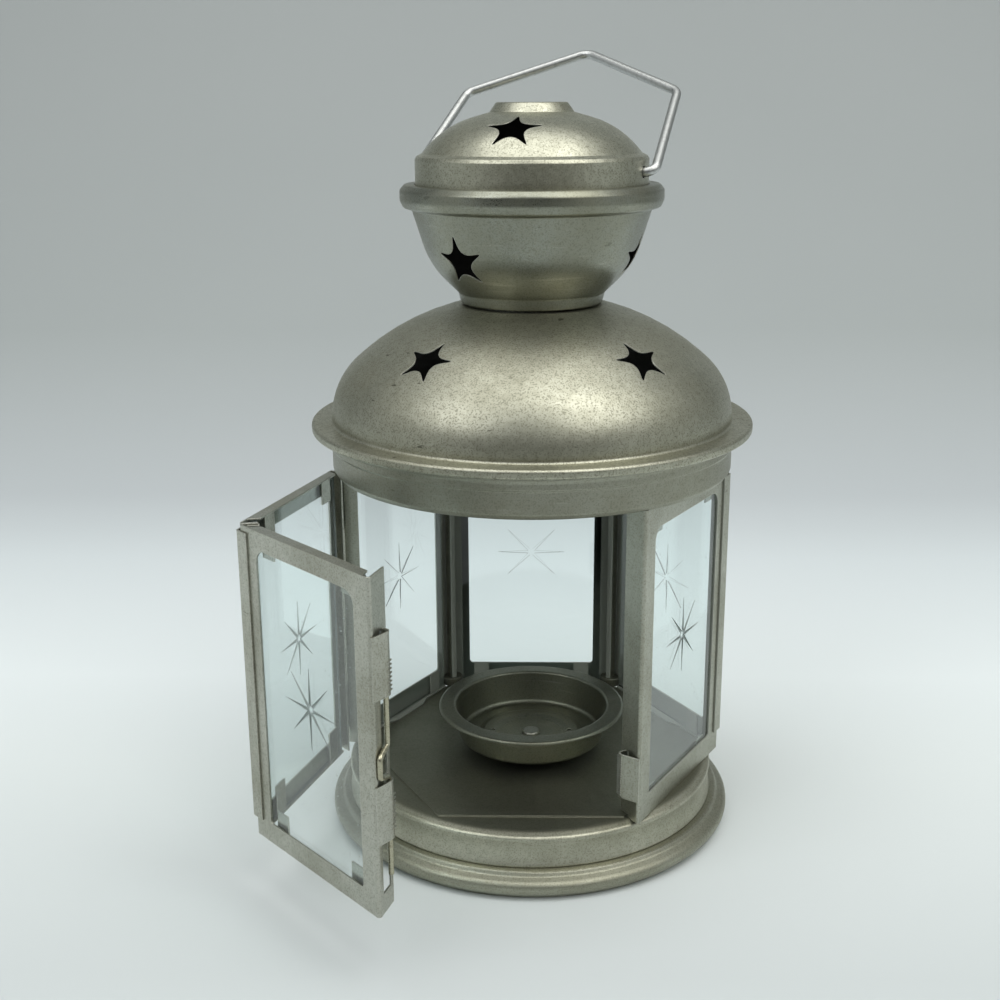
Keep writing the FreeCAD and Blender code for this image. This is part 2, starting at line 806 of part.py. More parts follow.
def lanced_loop(name, root, crown, placement, foot, height):
    """A band pressed out of a flange from near its fold, swelling to a hat that goes round the latch pin."""
    side = "left" if value(crown) > value(root) else "right"
    section = band(name + "_hat", [
        ("loop_start", root),
        (f"latch_depth - {BAND_INNER}", crown, f"{BAND_INNER} * 2"),
        (f"latch_depth + {BAND_INNER}", crown, f"{BAND_INNER} * 0.97"),
        (f"latch_depth + {BAND_INNER}", root),
    ], placement, side, "band_sheet")
    return drawn_out(name, section, height, foot)


def flange_cutter(name, placement, near, far, sign, foot, height):
    """A cutter through one latch flange, between two distances from the corner."""
    low = f"{sign}latch_gap / 2 - sheet * 1.5"
    high = f"{sign}latch_gap / 2 + sheet * 1.5"
    section = outline(free_sketch(name + "_outline", placement), [(near, low), (far, low), (far, high), (near, high)])
    return drawn_out(name, section, height, foot)


def flange_slot(name, placement, half_width, sign, foot, height):
    """A slot through a flange along the latch line."""
    return flange_cutter(name, placement, f"latch_depth - {half_width}", f"latch_depth + {half_width}",
                         sign, foot, height)


def door_latch_parts():
    """The door's two loops, its slots under them, the slot for the crank and the notch for the post's loop."""
    wall_end = Placement(Vector(value(WALL), 0, 0), Rotation(UP, 2 * HEXAGON_TURN))
    root = "latch_gap / 2 + sheet / 2"
    crown = f"{LATCH_LINE} - {BAND_INNER}"
    loops = []
    slots = []
    for number, (foot, height) in enumerate((LOW_DOOR_LOOP, HIGH_DOOR_LOOP), start=1):
        loops.append(lanced_loop(f"door_loop_{number}", root, crown, wall_end, foot, height))
        slots.append(flange_slot(f"door_lance_{number}", wall_end, "lance_width / 2", "", foot, height))
    slots.append(flange_slot("crank_slot", wall_end, "latch_slot_width / 2", "",
                             f"{SLOT_FOOT} + loop_gap", "latch_slot_height - 2 * loop_gap"))
    reach = f"({BAND_INNER} + band_sheet + loop_gap / 2)"
    slots.append(flange_cutter("post_loop_notch", wall_end, f"latch_depth - 2 * {reach}", f"latch_depth + {reach}",
                               "", "post_loop_foot - loop_gap / 2", "post_loop_height + loop_gap"))
    return loops, slots


def post_latch_parts():
    """The post's loop, which reaches across the gap to the same pin, and the cuts in the post's flange."""
    wall_start = Placement(Vector(0, 0, 0), Rotation(UP, HEXAGON_TURN))
    root = "-latch_gap / 2 - sheet / 2"
    crown = f"{LATCH_LINE} + {BAND_INNER}"
    loop = lanced_loop("post_loop", root, crown, wall_start, *POST_LOOP)
    lance = flange_slot("post_lance", wall_start, "lance_width / 2", "-", *POST_LOOP)
    relief = flange_cutter("post_foot_relief", wall_start, "corner_radius - plateau_radius - relief_gap",
                           "latch_flange + overrun", "-", "-relief_gap", "plateau_rise + 2 * relief_gap")
    return [loop], [lance, relief]


def latch_pin():
    """Drop pin of bent wire: a straight pin with a cranked thumb handle that rests on the low loop."""
    rest = f"({SLOT_FOOT} + latch_wire_radius + touch_gap)"
    top = f"({rest} + crank_height)"
    inner = "latch_depth"
    outer = "(latch_depth - crank_reach)"
    body = wire_form("latch_pin", [
        (inner, f"{rest} - latch_tail"),
        (inner, rest, "crank_round"),
        (outer, f"{rest} + crank_rise", "crank_round"),
        (outer, f"{top} - crank_rise", "crank_round"),
        (inner, top, "crank_round"),
        (inner, f"{top} + latch_head"),
    ], "latch_wire_radius")
    line = corner_place(5 * HEXAGON_TURN)
    offset = Placement(Vector(0, value(LATCH_LINE), 0), Rotation())
    return sub_part("latch_pin", body, door_swing(line * offset))


# Corner seams


def corner_bead(label, azimuth, on_door=False):
    """Cover strip folded round the outside of a corner, over the edges of both frames."""
    nose = "-touch_gap / sin(60)"
    edge = (f"{nose} + cover_width * cos(60)", "cover_width * sin(60)")
    section = band(label + "_fold", [
        edge,
        (nose, "0", "cover_fold"),
        (edge[0], f"-{edge[1]}"),
    ], Placement(), "right", "cover_sheet")
    solid = drawn_out(label, section, "frame_height - cover_foot_gap - cover_head_gap")
    return sub_part(label, solid, corner_place(azimuth, f"{DECK} + cover_foot_gap", on_door))


def seam_strip(label, azimuth, on_door=False):
    """Channel strip pushed over the edges of two flanges to hold the corner together."""
    half = f"({SEAM_GAP} + sheet + touch_gap)"
    closed_end = "(seam_flange + 2 * touch_gap)"
    section = band(label + "_channel", [
        ("strip_start", half),
        (closed_end, half, "strip_sheet / 4"),
        (closed_end, f"-{half}", "strip_sheet / 4"),
        ("strip_start", f"-{half}"),
    ], Placement(), "left", "strip_sheet")
    foot = "door_gap_below + sheet" if on_door else "sheet"
    head = "frame_height - door_gap_above - sheet" if on_door else "frame_height - sheet"
    solid = drawn_out(label, section, f"{head} - ({foot})")
    return sub_part(label, solid, corner_place(azimuth, f"{DECK} + {foot}", on_door))


# Glass


def pane(label, azimuth, on_door=False):
    """Clear pane with a cut star of eight tapered rays on its outer face."""
    body = new_body(label)
    foot = "door_gap_below + sheet" if on_door else "sheet"
    head = "frame_height - door_gap_above - sheet" if on_door else "frame_height - sheet"
    height = f"{head} - ({foot}) - glass_headroom"
    sheet_outline = outline(body_sketch(body, label + "_outline", "XZ_Plane"), [
        ("glass_margin", "0"),
        (f"{WALL} - glass_margin", "0"),
        (f"{WALL} - glass_margin", height),
        ("glass_margin", height),
    ])
    pad(body, sheet_outline, "glass_thickness", backwards=True)
    # The ray is drawn about the star's middle, because its pattern turns about the sketch's own origin
    ray = body_sketch(body, label + "_ray", "XZ_Plane")
    ray.setExpression(".AttachmentOffset.Base.x", linked(f"{WALL} / 2"))
    ray.setExpression(".AttachmentOffset.Base.y", linked(f"star_height - ({foot})"))
    outline(ray, [
        ("-ray_width / 2", "0"),
        ("0", "-ray_width / 2"),
        ("ray_width / 2", "0"),
        ("0", "ray_length"),
    ])
    doc.recompute()
    groove = body.newObject("PartDesign::Pocket", label + "_groove")
    groove.Profile = ray
    groove.Reversed = False
    bind(groove, Length="ray_depth")
    spokes = body.newObject("PartDesign::PolarPattern", label + "_star")
    spokes.Originals = [groove]
    spokes.Axis = (ray, ["N_Axis"])
    spokes.Angle = 360
    spokes.Occurrences = 8
    body.Tip = spokes
    placement = panel_place(azimuth, f"{DECK} + {foot}", on_door)
    return sub_part(label, body, placement * Placement(SIDEWAYS * value("sheet"), Rotation()))


# Roof


def star_punch(name, radius, height, azimuth, tilt):
    """A five-pointed cutter square to a round roof, at a radius and height and at an angle above level."""
    sketch = free_sketch(name + "_outline")
    points = []
    for number in range(10):
        reach, rounding = [("star_tip", "star_tip_round"), ("star_waist", "star_side_round")][number % 2]
        angle = 90 + 36 * number
        points.append((f"{reach} * cos({angle})", f"{reach} * sin({angle})", rounding))
    outline(sketch, points)
    cutter = drawn_out(name, sketch, "2 * overrun")
    facing = Rotation(UP, azimuth) * Rotation(SIDEWAYS, 90 - tilt) * Rotation(UP, -90)
    outward = facing.multVec(UP)
    angle = math.radians(azimuth)
    reach = value(radius)
    middle = Vector(reach * math.cos(angle), reach * math.sin(angle), value(height))
    cutter.Placement = Placement(middle - outward * value("overrun"), facing)
    return cutter


def crown_ring():
    """Round ring that sits on the frames and carries the dome on its coved lip."""
    top = f"{ROOM_TOP} + crown_height - sheet"
    return sub_part("crown_ring", turned("crown_ring", [
        ("crown_mouth_radius", ROOM_TOP),
        ("crown_radius - crown_foot_inset", ROOM_TOP, "fold_radius"),
        ("crown_radius", f"{ROOM_TOP} + crown_foot_rise", "fold_radius"),
        ("crown_radius", f"{ROOM_TOP} + crown_step_height", "crown_step"),
        ("crown_radius + crown_step", f"{ROOM_TOP} + crown_step_height + crown_step", "crown_step"),
        ("crown_radius + crown_step", top, "crown_cove_round"),
        ("crown_radius + crown_step + crown_lip", top),
    ]))


def roof_dome():
    """Spun dome with a rolled rim, a flat seat for the vent and four punched stars."""
    crown_share, rise_share = DOME_CROWN_SHARES
    shell = turned("roof_dome_shell", [
        ("dome_rim_radius - 2 * dome_hem", DOME_FOOT),
        ("dome_rim_radius", DOME_FOOT, "sheet * 1.5"),
        ("dome_rim_radius", DOME_LEDGE, "dome_rim_height / 3"),
        ("dome_radius", DOME_LEDGE, "fold_radius"),
        ("dome_radius", f"{DOME_LEDGE} + dome_rise * {DOME_SHOULDER_SHARE}", "dome_shoulder_round"),
        (f"dome_radius * {crown_share}", f"{DOME_LEDGE} + dome_rise * {rise_share}", BALL),
        ("vent_seat_radius", DOME_TOP, "fold_radius"),
        ("vent_hole_radius", DOME_TOP),
    ])
    stars = [
        star_punch(f"dome_star_{number}", f"dome_radius * {DOME_STAR_RADIUS_SHARE}",
                   f"{DOME_LEDGE} + dome_rise * {DOME_STAR_SHARE}", azimuth, DOME_STAR_TILT)
        for number, azimuth in enumerate(DOME_STAR_AZIMUTHS, start=1)
    ]
    return sub_part("roof_dome", cut_away("roof_dome", shell, stars))


def vent_bowl():
    """Flared bowl on a short neck, with a heavy rolled bead at its mouth and three punched stars."""
    bead_foot = f"{BOWL_TOP} - bowl_bead_height"
    mouth = "collar_radius + collar_fit"
    shell = turned("vent_bowl_shell", [
        ("vent_hole_radius", DOME_TOP),
        ("bowl_neck_radius", DOME_TOP, "fold_radius"),
        ("bowl_neck_radius", f"{DOME_TOP} + bowl_neck_height", "fold_radius"),
        ("bowl_belly_radius", f"{DOME_TOP} + bowl_belly_height", "bowl_belly_round"),
        ("bowl_rim_radius", bead_foot, "fold_radius"),
        ("bowl_bead_radius - bowl_bead_round / 2", f"{bead_foot} + bowl_bead_round / 2", "bowl_bead_round"),
        ("bowl_bead_radius", f"{BOWL_TOP} - bowl_bead_round", "bowl_bead_round"),
        ("bowl_bead_radius - bowl_bead_round", BOWL_TOP, "bowl_bead_round"),
        (mouth, BOWL_TOP),
    ])
    stars = [
        star_punch(f"bowl_star_{number}", "bowl_star_radius", f"{DOME_TOP} + bowl_height * {BOWL_STAR_SHARE}",
                   azimuth, BOWL_STAR_TILT)
        for number, azimuth in enumerate(BOWL_STAR_AZIMUTHS, start=1)
    ]
    return sub_part("vent_bowl", cut_away("vent_bowl", shell, stars))


def vent_cap():
    """Cap with a straight collar that stands in the bowl's mouth, a low dome and a raised button."""
    collar_top = f"{BOWL_TOP} + collar_height"
    bevel_top = f"({collar_top} + cap_bevel_rise)"
    peak = f"({collar_top} + cap_rise)"
    shell = turned("vent_cap_shell", [
        ("collar_radius", f"{BOWL_TOP} - collar_tail"),
        ("collar_radius", collar_top, "fold_radius"),
        ("collar_radius - cap_bevel", bevel_top, "fold_radius"),
        ("cap_dome_radius", f"{bevel_top} + (cap_rise - cap_bevel_rise - button_height) * {CAP_CURVE_SHARE}",
         BALL),
        ("button_radius", f"{peak} - button_height", "fold_radius / 2"),
        ("button_radius - sheet", peak, "button_round"),
        ("0", peak),
    ])
    stars = [
        star_punch(f"cap_star_{number}", "cap_star_radius", f"{bevel_top} + cap_rise * {CAP_STAR_SHARE}",
                   azimuth, CAP_STAR_TILT)
        for number, azimuth in enumerate(CAP_STAR_AZIMUTHS, start=1)
    ]
    eyes = cylinder("bail_eyes", "bail_wire_radius + bail_play", "2 * collar_radius + overrun", "0")
    turn = Rotation(UP, BAIL_AZIMUTH) * Rotation(SIDEWAYS, 90)
    along = turn.multVec(UP)
    eye_height = value(f"{BOWL_TOP} + bail_eye_rise")
    eyes.setExpression(".Placement.Base.z", None)
    eyes.setExpression(".Placement.Base.x", None)
    eyes.setExpression(".Placement.Base.y", None)
    start = UP * eye_height - along * value("collar_radius + overrun / 2")
    eyes.Placement = Placement(start, turn)
    punched = cut_away("punched_cap", shell, stars)
    return sub_part("vent_cap", cut_away("vent_cap", punched, [eyes]))


def bail():
    """Wire bail with its ends turned into the collar's eyes, leaning back as it hangs."""
    body = wire_form("bail", [
        ("-bail_half_span + bail_tail", "0"),
        ("-bail_half_span", "0", "bail_foot_round"),
        ("-bail_shoulder_half", "bail_shoulder_height", "bail_shoulder_round"),
        ("0", "bail_height", "bail_crown_round"),
        ("bail_shoulder_half", "bail_shoulder_height", "bail_shoulder_round"),
        ("bail_half_span", "0", "bail_foot_round"),
        ("bail_half_span - bail_tail", "0"),
    ], "bail_wire_radius")
    lean = Rotation(UP, BAIL_AZIMUTH) * Rotation(Vector(1, 0, 0), -BAIL_LEAN)
    return sub_part("bail", body, Placement(UP * value(f"{BOWL_TOP} + bail_eye_rise"), lean))


def build():
    """Make every sub-part, from the table up."""
    sub_part("base_foot_ring", base_foot())
    base_pan()
    cup_spacer()
    candle_cup()
    cup_rivet()

    post_hinge = knuckles("post", WALL, f"{WALL} - hinge_setback - fold_radius",
                          (LOW_POST_KNUCKLE, HIGH_POST_KNUCKLE))
    door_hinge = knuckles("door", "0", "0", (LOW_DOOR_KNUCKLE, HIGH_DOOR_KNUCKLE))
    post_latch = post_latch_parts()
    door_latch = door_latch_parts()
    frame("frame_right_back", 0, SEAM_CORNER, SEAM_CORNER)
    frame("frame_back", HEXAGON_TURN, SEAM_CORNER, SEAM_CORNER)
    frame("frame_left_back", 2 * HEXAGON_TURN, SEAM_CORNER, HINGE_CORNER, False, *post_hinge)
    frame("door_frame_left", 3 * HEXAGON_TURN, HINGE_CORNER, SEAM_CORNER, True, *door_hinge)
    frame("door_frame_front", 4 * HEXAGON_TURN, SEAM_CORNER, LATCH_CORNER, True, *door_latch)
    frame("frame_right_front", 5 * HEXAGON_TURN, LATCH_CORNER, SEAM_CORNER, False, *post_latch)
    hinge_pin()
    latch_pin()

    for name, azimuth, on_door in (
        ("right", 0, False),
        ("back_right", HEXAGON_TURN, False),
        ("back_left", 2 * HEXAGON_TURN, False),
        ("door", 4 * HEXAGON_TURN, True),
    ):
        corner_bead(f"corner_bead_{name}", azimuth, on_door)
        seam_strip(f"seam_strip_{name}", azimuth, on_door)
    for name, turn, on_door in (
        ("right_back", 0, False),
        ("back", 1, False),
        ("left_back", 2, False),
        ("door_left", 3, True),
        ("door_front", 4, True),
        ("right_front", 5, False),
    ):
        pane(f"glass_{name}", turn * HEXAGON_TURN, on_door)

    crown_ring()
    roof_dome()
    vent_bowl()
    vent_cap()
    bail()


def check():
    """Stop if any object failed or any sub-part is not one sound solid."""
    for item in doc.Objects:
        if "Invalid" in item.State or "Error" in item.State:
            raise RuntimeError(f"{item.Label} failed: {item.State}")
    for item in sub_parts:
        shape = item.Shape
        if shape.isNull() or not shape.isValid() or not shape.Solids:
            raise RuntimeError(f"{item.Label} has no sound solid")


def export():
    """Write each sub-part under its own name."""
    os.makedirs("parts", exist_ok=True)
    for item in sub_parts:
        item.Shape.exportStep(f"parts/{item.Label}.step")
        size = item.Shape.BoundBox
        print(f"{item.Label}: {len(item.Shape.Solids)} solid, {item.Shape.Volume:.0f} mm3, "
              f"z {size.ZMin:.1f} to {size.ZMax:.1f}")


build()
doc.recompute()
check()
export()
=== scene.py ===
"""Looks of the punched tin candle lantern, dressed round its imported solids.

The lantern stands on its base with Z up, in metres. Every sub-assembly is a class that
holds its sizes, builds the pieces that it adds and dresses the solids that it keeps.
"""

import logging
import math
from dataclasses import dataclass, field
from enum import Enum

import bpy
from mathutils import Matrix, Vector

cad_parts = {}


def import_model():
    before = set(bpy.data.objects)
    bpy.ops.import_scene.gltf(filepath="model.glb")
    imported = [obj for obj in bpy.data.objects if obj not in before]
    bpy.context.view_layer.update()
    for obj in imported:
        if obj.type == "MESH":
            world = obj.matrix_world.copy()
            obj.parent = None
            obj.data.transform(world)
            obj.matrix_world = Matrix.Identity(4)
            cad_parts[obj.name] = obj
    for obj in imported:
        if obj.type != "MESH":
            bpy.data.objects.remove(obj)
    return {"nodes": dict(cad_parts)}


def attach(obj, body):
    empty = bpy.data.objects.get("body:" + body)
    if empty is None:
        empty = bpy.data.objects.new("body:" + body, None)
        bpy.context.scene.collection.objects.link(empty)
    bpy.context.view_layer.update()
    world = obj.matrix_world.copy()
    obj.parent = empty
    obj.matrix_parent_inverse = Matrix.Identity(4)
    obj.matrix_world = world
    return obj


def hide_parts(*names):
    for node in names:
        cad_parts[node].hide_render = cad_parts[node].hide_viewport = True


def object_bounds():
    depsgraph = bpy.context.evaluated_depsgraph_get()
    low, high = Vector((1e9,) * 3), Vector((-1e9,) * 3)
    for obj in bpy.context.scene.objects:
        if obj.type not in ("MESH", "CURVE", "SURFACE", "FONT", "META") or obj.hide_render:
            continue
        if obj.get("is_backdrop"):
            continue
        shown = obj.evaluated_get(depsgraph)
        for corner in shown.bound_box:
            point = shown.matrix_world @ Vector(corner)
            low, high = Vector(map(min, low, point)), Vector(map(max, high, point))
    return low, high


log = logging.getLogger("lantern")

Colour = tuple[float, float, float]
MM = 0.001
BAIL_EYES = (-21.5, 158.5)
FAR_PANES = ("glass_right_back", "glass_back", "glass_left_back")
LATCH_CORNER = 300.0


class Body(Enum):
    """The bodies that the pieces ride on."""

    LANTERN = "lantern"
    DOOR = "door"
    LATCH = "latch"
    BAIL = "bail"


class Wear(Enum):
    """Which way the fine scratches of a sheet run."""

    ROUND = (60.0, 60.0, 900.0)
    UPRIGHT = (900.0, 900.0, 45.0)


@dataclass(frozen=True)
class Corner:
    """One corner of a sheet's section: its radius, its height and its rounding, in millimetres."""

    radius: float
    height: float
    rounding: float = 0.0


def rounded(corners: tuple[Corner, ...], turn: float = math.radians(5.0)) -> list[Vector]:
    """Points along a section, with every rounded corner followed as an arc.

    Args:
        corners: the section's corners in order.
        turn: how far the section turns from one point of an arc to the next.

    Returns:
        The points in the XZ plane, in metres.
    """
    places = [Vector((corner.radius, 0.0, corner.height)) * MM for corner in corners]
    points = []
    for index, (corner, place) in enumerate(zip(corners, places)):
        if corner.rounding == 0.0:
            points.append(place)
            continue
        before = (places[index - 1] - place).normalized()
        after = (places[index + 1] - place).normalized()
        half = before.angle(after) / 2
        reach = corner.rounding * MM
        centre = place + (before + after).normalized() * (reach / math.sin(half))
        first = place + before * (reach / math.tan(half)) - centre
        last = place + after * (reach / math.tan(half)) - centre
        steps = max(2, math.ceil((math.pi - 2 * half) / turn))
        points += [centre + first.slerp(last, step / steps).normalized() * reach for step in range(steps + 1)]
    return points


def trace(name: str, points: list[Vector]) -> bpy.types.Object:
    """Draw a line of edges through points, and stay in edit mode with all of it selected.

    Args:
        name: the new object's name.
        points: the points to go through.

    Returns:
        The new object, with its origin at the world's origin.
    """
    bpy.ops.object.select_all(action="DESELECT")
    bpy.ops.mesh.primitive_plane_add(size=MM, location=(0.0, 0.0, 0.0))
    piece = bpy.context.object
    piece.name = name
    bpy.ops.object.mode_set(mode="EDIT")
    bpy.ops.mesh.select_mode(type="VERT")
    bpy.ops.mesh.select_all(action="SELECT")
    bpy.ops.mesh.merge(type="CENTER")
    bpy.ops.transform.translate(value=points[0])
    for here, there in zip(points, points[1:]):
        bpy.ops.mesh.extrude_vertices_move(TRANSFORM_OT_translate={"value": there - here})
    bpy.ops.mesh.select_all(action="SELECT")
    return piece


def join(name: str, pieces: list[bpy.types.Object]) -> bpy.types.Object:
    """Make one object of several.

    Args:
        name: the joined object's name.
        pieces: what is joined.

    Returns:
        The joined object.
    """
    bpy.ops.object.select_all(action="DESELECT")
    for piece in pieces:
        piece.select_set(True)
    bpy.context.view_layer.objects.active = pieces[0]
    if len(pieces) > 1:
        bpy.ops.object.join()
    pieces[0].name = name
    return pieces[0]


def face_outward(piece: bpy.types.Object) -> None:
    """Turn a closed piece's faces outward, told by the volume that they enclose.

    Args:
        piece: the closed piece, in object mode.
    """
    volume = 0.0
    for face in piece.data.polygons:
        places = [piece.data.vertices[index].co for index in face.vertices]
        volume += sum(places[0].dot(here.cross(there)) for here, there in zip(places[1:], places[2:]))
    if volume < 0.0:
        bpy.ops.object.mode_set(mode="EDIT")
        bpy.ops.mesh.select_all(action="SELECT")
        bpy.ops.mesh.flip_normals()
        bpy.ops.object.mode_set(mode="OBJECT")


def rod(name: str, start: Vector, end: Vector, radius: float, sides: int = 12) -> bpy.types.Object:
    """A round bar from one point to another.

    Args:
        name: the new object's name.
        start: the middle of one end.
        end: the middle of the other end.
        radius: the bar's radius.
        sides: how many sides the bar has.

    Returns:
        The new object, with its origin at the world's origin.
    """
    bpy.ops.object.select_all(action="DESELECT")
    along = end - start
    bpy.ops.mesh.primitive_cylinder_add(vertices=sides, radius=radius, depth=along.length,
                                        location=(start + end) / 2,
                                        rotation=along.to_track_quat("Z", "Y").to_euler())
    bar = bpy.context.object
    bar.name = name
    bpy.ops.object.transform_apply(location=True, rotation=True, scale=True)
    return bar


@dataclass(frozen=True)
class CornerSite:
    """A corner of the six walls, as a place to build from: X inward, Y a quarter turn on, Z up."""

    azimuth: float
    on_door: bool = False
    reach: float = 62.3
    deck: float = 18.8
    door_turn: float = -47.3

    def point(self, inward: float, across: float, height: float) -> Vector:
        """A point near the corner.

        Args:
            inward: how far in from the corner, in millimetres.
            across: how far to the side.
            height: how far above the deck.

        Returns:
            The point in metres, swung with the door if the corner is on it.
        """
        turn = math.radians(self.azimuth)
        foot = Vector((math.cos(turn), math.sin(turn), 0.0)) * self.reach
        inside = Vector((-math.cos(turn), -math.sin(turn), 0.0))
        side = Vector((math.sin(turn), -math.cos(turn), 0.0))
        spot = foot + inside * inward + side * across + Vector((0.0, 0.0, self.deck + height))
        if self.on_door:
            hinge = Vector((-self.reach, 0.0, 0.0))
            spot = hinge + Matrix.Rotation(math.radians(self.door_turn), 3, "Z") @ (spot - hinge)
        return spot * MM


@dataclass(frozen=True)
class Crimps:
    """Small ridges pressed across a lanced loop, level and one above the other."""

    name: str
    site: CornerSite
    face: float
    first: float
    pitch: float
    count: int
    depth_from: float = 5.9
    depth_to: float = 8.1
    radius: float = 0.25
    sunk: float = 0.08

    def model(self) -> bpy.types.Object:
        """Model the ridges as one piece."""
        across = self.face - math.copysign(self.sunk, self.face)
        bars = []
        for number in range(self.count):
            height = self.first + number * self.pitch
            bars.append(rod(f"{self.name}_{number}", self.site.point(self.depth_from, across, height),
                            self.site.point(self.depth_to, across, height), self.radius * MM, 10))
        ridges = join(self.name, bars)
        bpy.ops.object.shade_smooth_by_angle(angle=math.radians(40.0))
        return ridges


@dataclass(frozen=True)
class StarPunch:
    """A five-pointed punch with hollow sides, square to a round roof and with one tip uphill."""

    radius: float
    height: float
    azimuth: float
    tilt: float
    turn: float = 0.0
    tip: float = 9.0
    waist: float = 2.75
    tip_share: float = 0.25
    waist_share: float = 0.5
    depth: float = 8.0
    steps: int = 5

    def place(self) -> Matrix:
        """Where the punch stands: X level, Y uphill and Z outward."""
        around, above = math.radians(self.azimuth), math.radians(self.tilt)
        level = Vector((-math.sin(around), math.cos(around), 0.0))
        outward = Vector((math.cos(around) * math.cos(above), math.sin(around) * math.cos(above),
                          math.sin(above)))
        uphill = outward.cross(level)
        middle = Vector((self.radius * math.cos(around), self.radius * math.sin(around), self.height)) * MM
        return Matrix.Translation(middle) @ Matrix((level, uphill, outward)).transposed().to_4x4()

    def outline(self) -> list[Vector]:
        """The star's outline about its own middle, with every tip and every waist rounded."""
        corners = []
        for number in range(10):
            angle = math.radians(90.0 + self.turn + 36.0 * number)
            reach = self.tip if number % 2 == 0 else self.waist
            corners.append(Vector((math.cos(angle), math.sin(angle), 0.0)) * reach)
        points = []
        for number, corner in enumerate(corners):
            share = self.tip_share if number % 2 == 0 else self.waist_share
            enter = corner.lerp(corners[number - 1], share)
            leave = corner.lerp(corners[(number + 1) % len(corners)], share)
            for step in range(self.steps + 1):
                along = step / self.steps
                points.append(enter.lerp(corner, along).lerp(corner.lerp(leave, along), along) * MM)
        return points

    def cutter(self, name: str) -> bpy.types.Object:
        """Make the punch as a solid that reaches through the sheet.

        Args:
            name: the new object's name.

        Returns:
            The cutter.
        """
        place = self.place()
        down = place.to_3x3() @ Vector((0.0, 0.0, -self.depth / 2 * MM))
        outline = [place @ point + down for point in self.outline()]
        piece = trace(name, outline)
        bpy.ops.mesh.edge_face_add()
        bpy.ops.mesh.extrude_region_move(TRANSFORM_OT_translate={"value": down * -2})
        bpy.ops.mesh.select_all(action="SELECT")
        bpy.ops.mesh.normals_make_consistent(inside=False)
        bpy.ops.object.mode_set(mode="OBJECT")
        face_outward(piece)
        return piece


@dataclass(frozen=True)
class SpunShell:
    """A sheet spun about the lantern's axis, with stars punched through it."""

    name: str
    corners: tuple[Corner, ...]
    heart: float
    stars: tuple[StarPunch, ...] = ()
    eyes: tuple[float, ...] = ()
    eye_height: float = 0.0
    eye_radius: float = 1.8
    eye_cut: tuple[float, float] = (28.0, 42.0)
    smooth_under: float = math.radians(32.0)
    sheet: float = 0.35
    steps: int = 120

    def model(self) -> bpy.types.Object:
        """Spin the section, give it its thickness and punch the stars.

        Returns:
            The finished shell, without a material.
        """
        shell = trace(self.name, rounded(self.corners))
        bpy.ops.mesh.spin(steps=self.steps, angle=2 * math.pi, center=(0.0, 0.0, 0.0), axis=(0.0, 0.0, 1.0))
        bpy.ops.mesh.select_all(action="SELECT")
        bpy.ops.mesh.remove_doubles(threshold=0.001 * MM)
        bpy.ops.mesh.normals_make_consistent(inside=False)
        bpy.ops.object.mode_set(mode="OBJECT")
        heart = Vector((0.0, 0.0, self.heart * MM))
        outward = sum((face.center - heart).normalized().dot(face.normal) * face.area
                      for face in shell.data.polygons)
        if outward < 0.0:
            bpy.ops.object.mode_set(mode="EDIT")
            bpy.ops.mesh.select_all(action="SELECT")
            bpy.ops.mesh.flip_normals()
            bpy.ops.object.mode_set(mode="OBJECT")
        solid = shell.modifiers.new("sheet", "SOLIDIFY")
        solid.thickness = self.sheet * MM
        solid.offset = -1.0
        solid.use_even_offset = True
        bpy.ops.object.modifier_apply(modifier=solid.name)
        if self.stars:
            cutters = [star.cutter(f"cutter_{number}") for number, star in enumerate(self.stars)]
            cutters = join("cutters", cutters + [self.eye_cutter(azimuth) for azimuth in self.eyes])
            bpy.ops.object.select_all(action="DESELECT")
            shell.select_set(True)
            bpy.context.view_layer.objects.active = shell
            punch = shell.modifiers.new("stars", "BOOLEAN")
            punch.operation = "DIFFERENCE"
            punch.solver = "EXACT"
            punch.object = cutters
            bpy.ops.object.modifier_apply(modifier=punch.name)
            bpy.data.objects.remove(cutters)
        bpy.ops.object.shade_smooth_by_angle(angle=self.smooth_under)
        log.info("%s has %d faces", self.name, len(shell.data.polygons))
        return shell

    def eye_cutter(self, azimuth: float) -> bpy.types.Object:
        """Make the round punch for an eye in an upright part of the shell."""
        outward = Vector((math.cos(math.radians(azimuth)), math.sin(math.radians(azimuth)), 0.0))
        middle = Vector((0.0, 0.0, self.eye_height))
        start, end = ((middle + outward * reach) * MM for reach in self.eye_cut)
        return rod("eye_cutter", start, end, self.eye_radius * MM, 24)


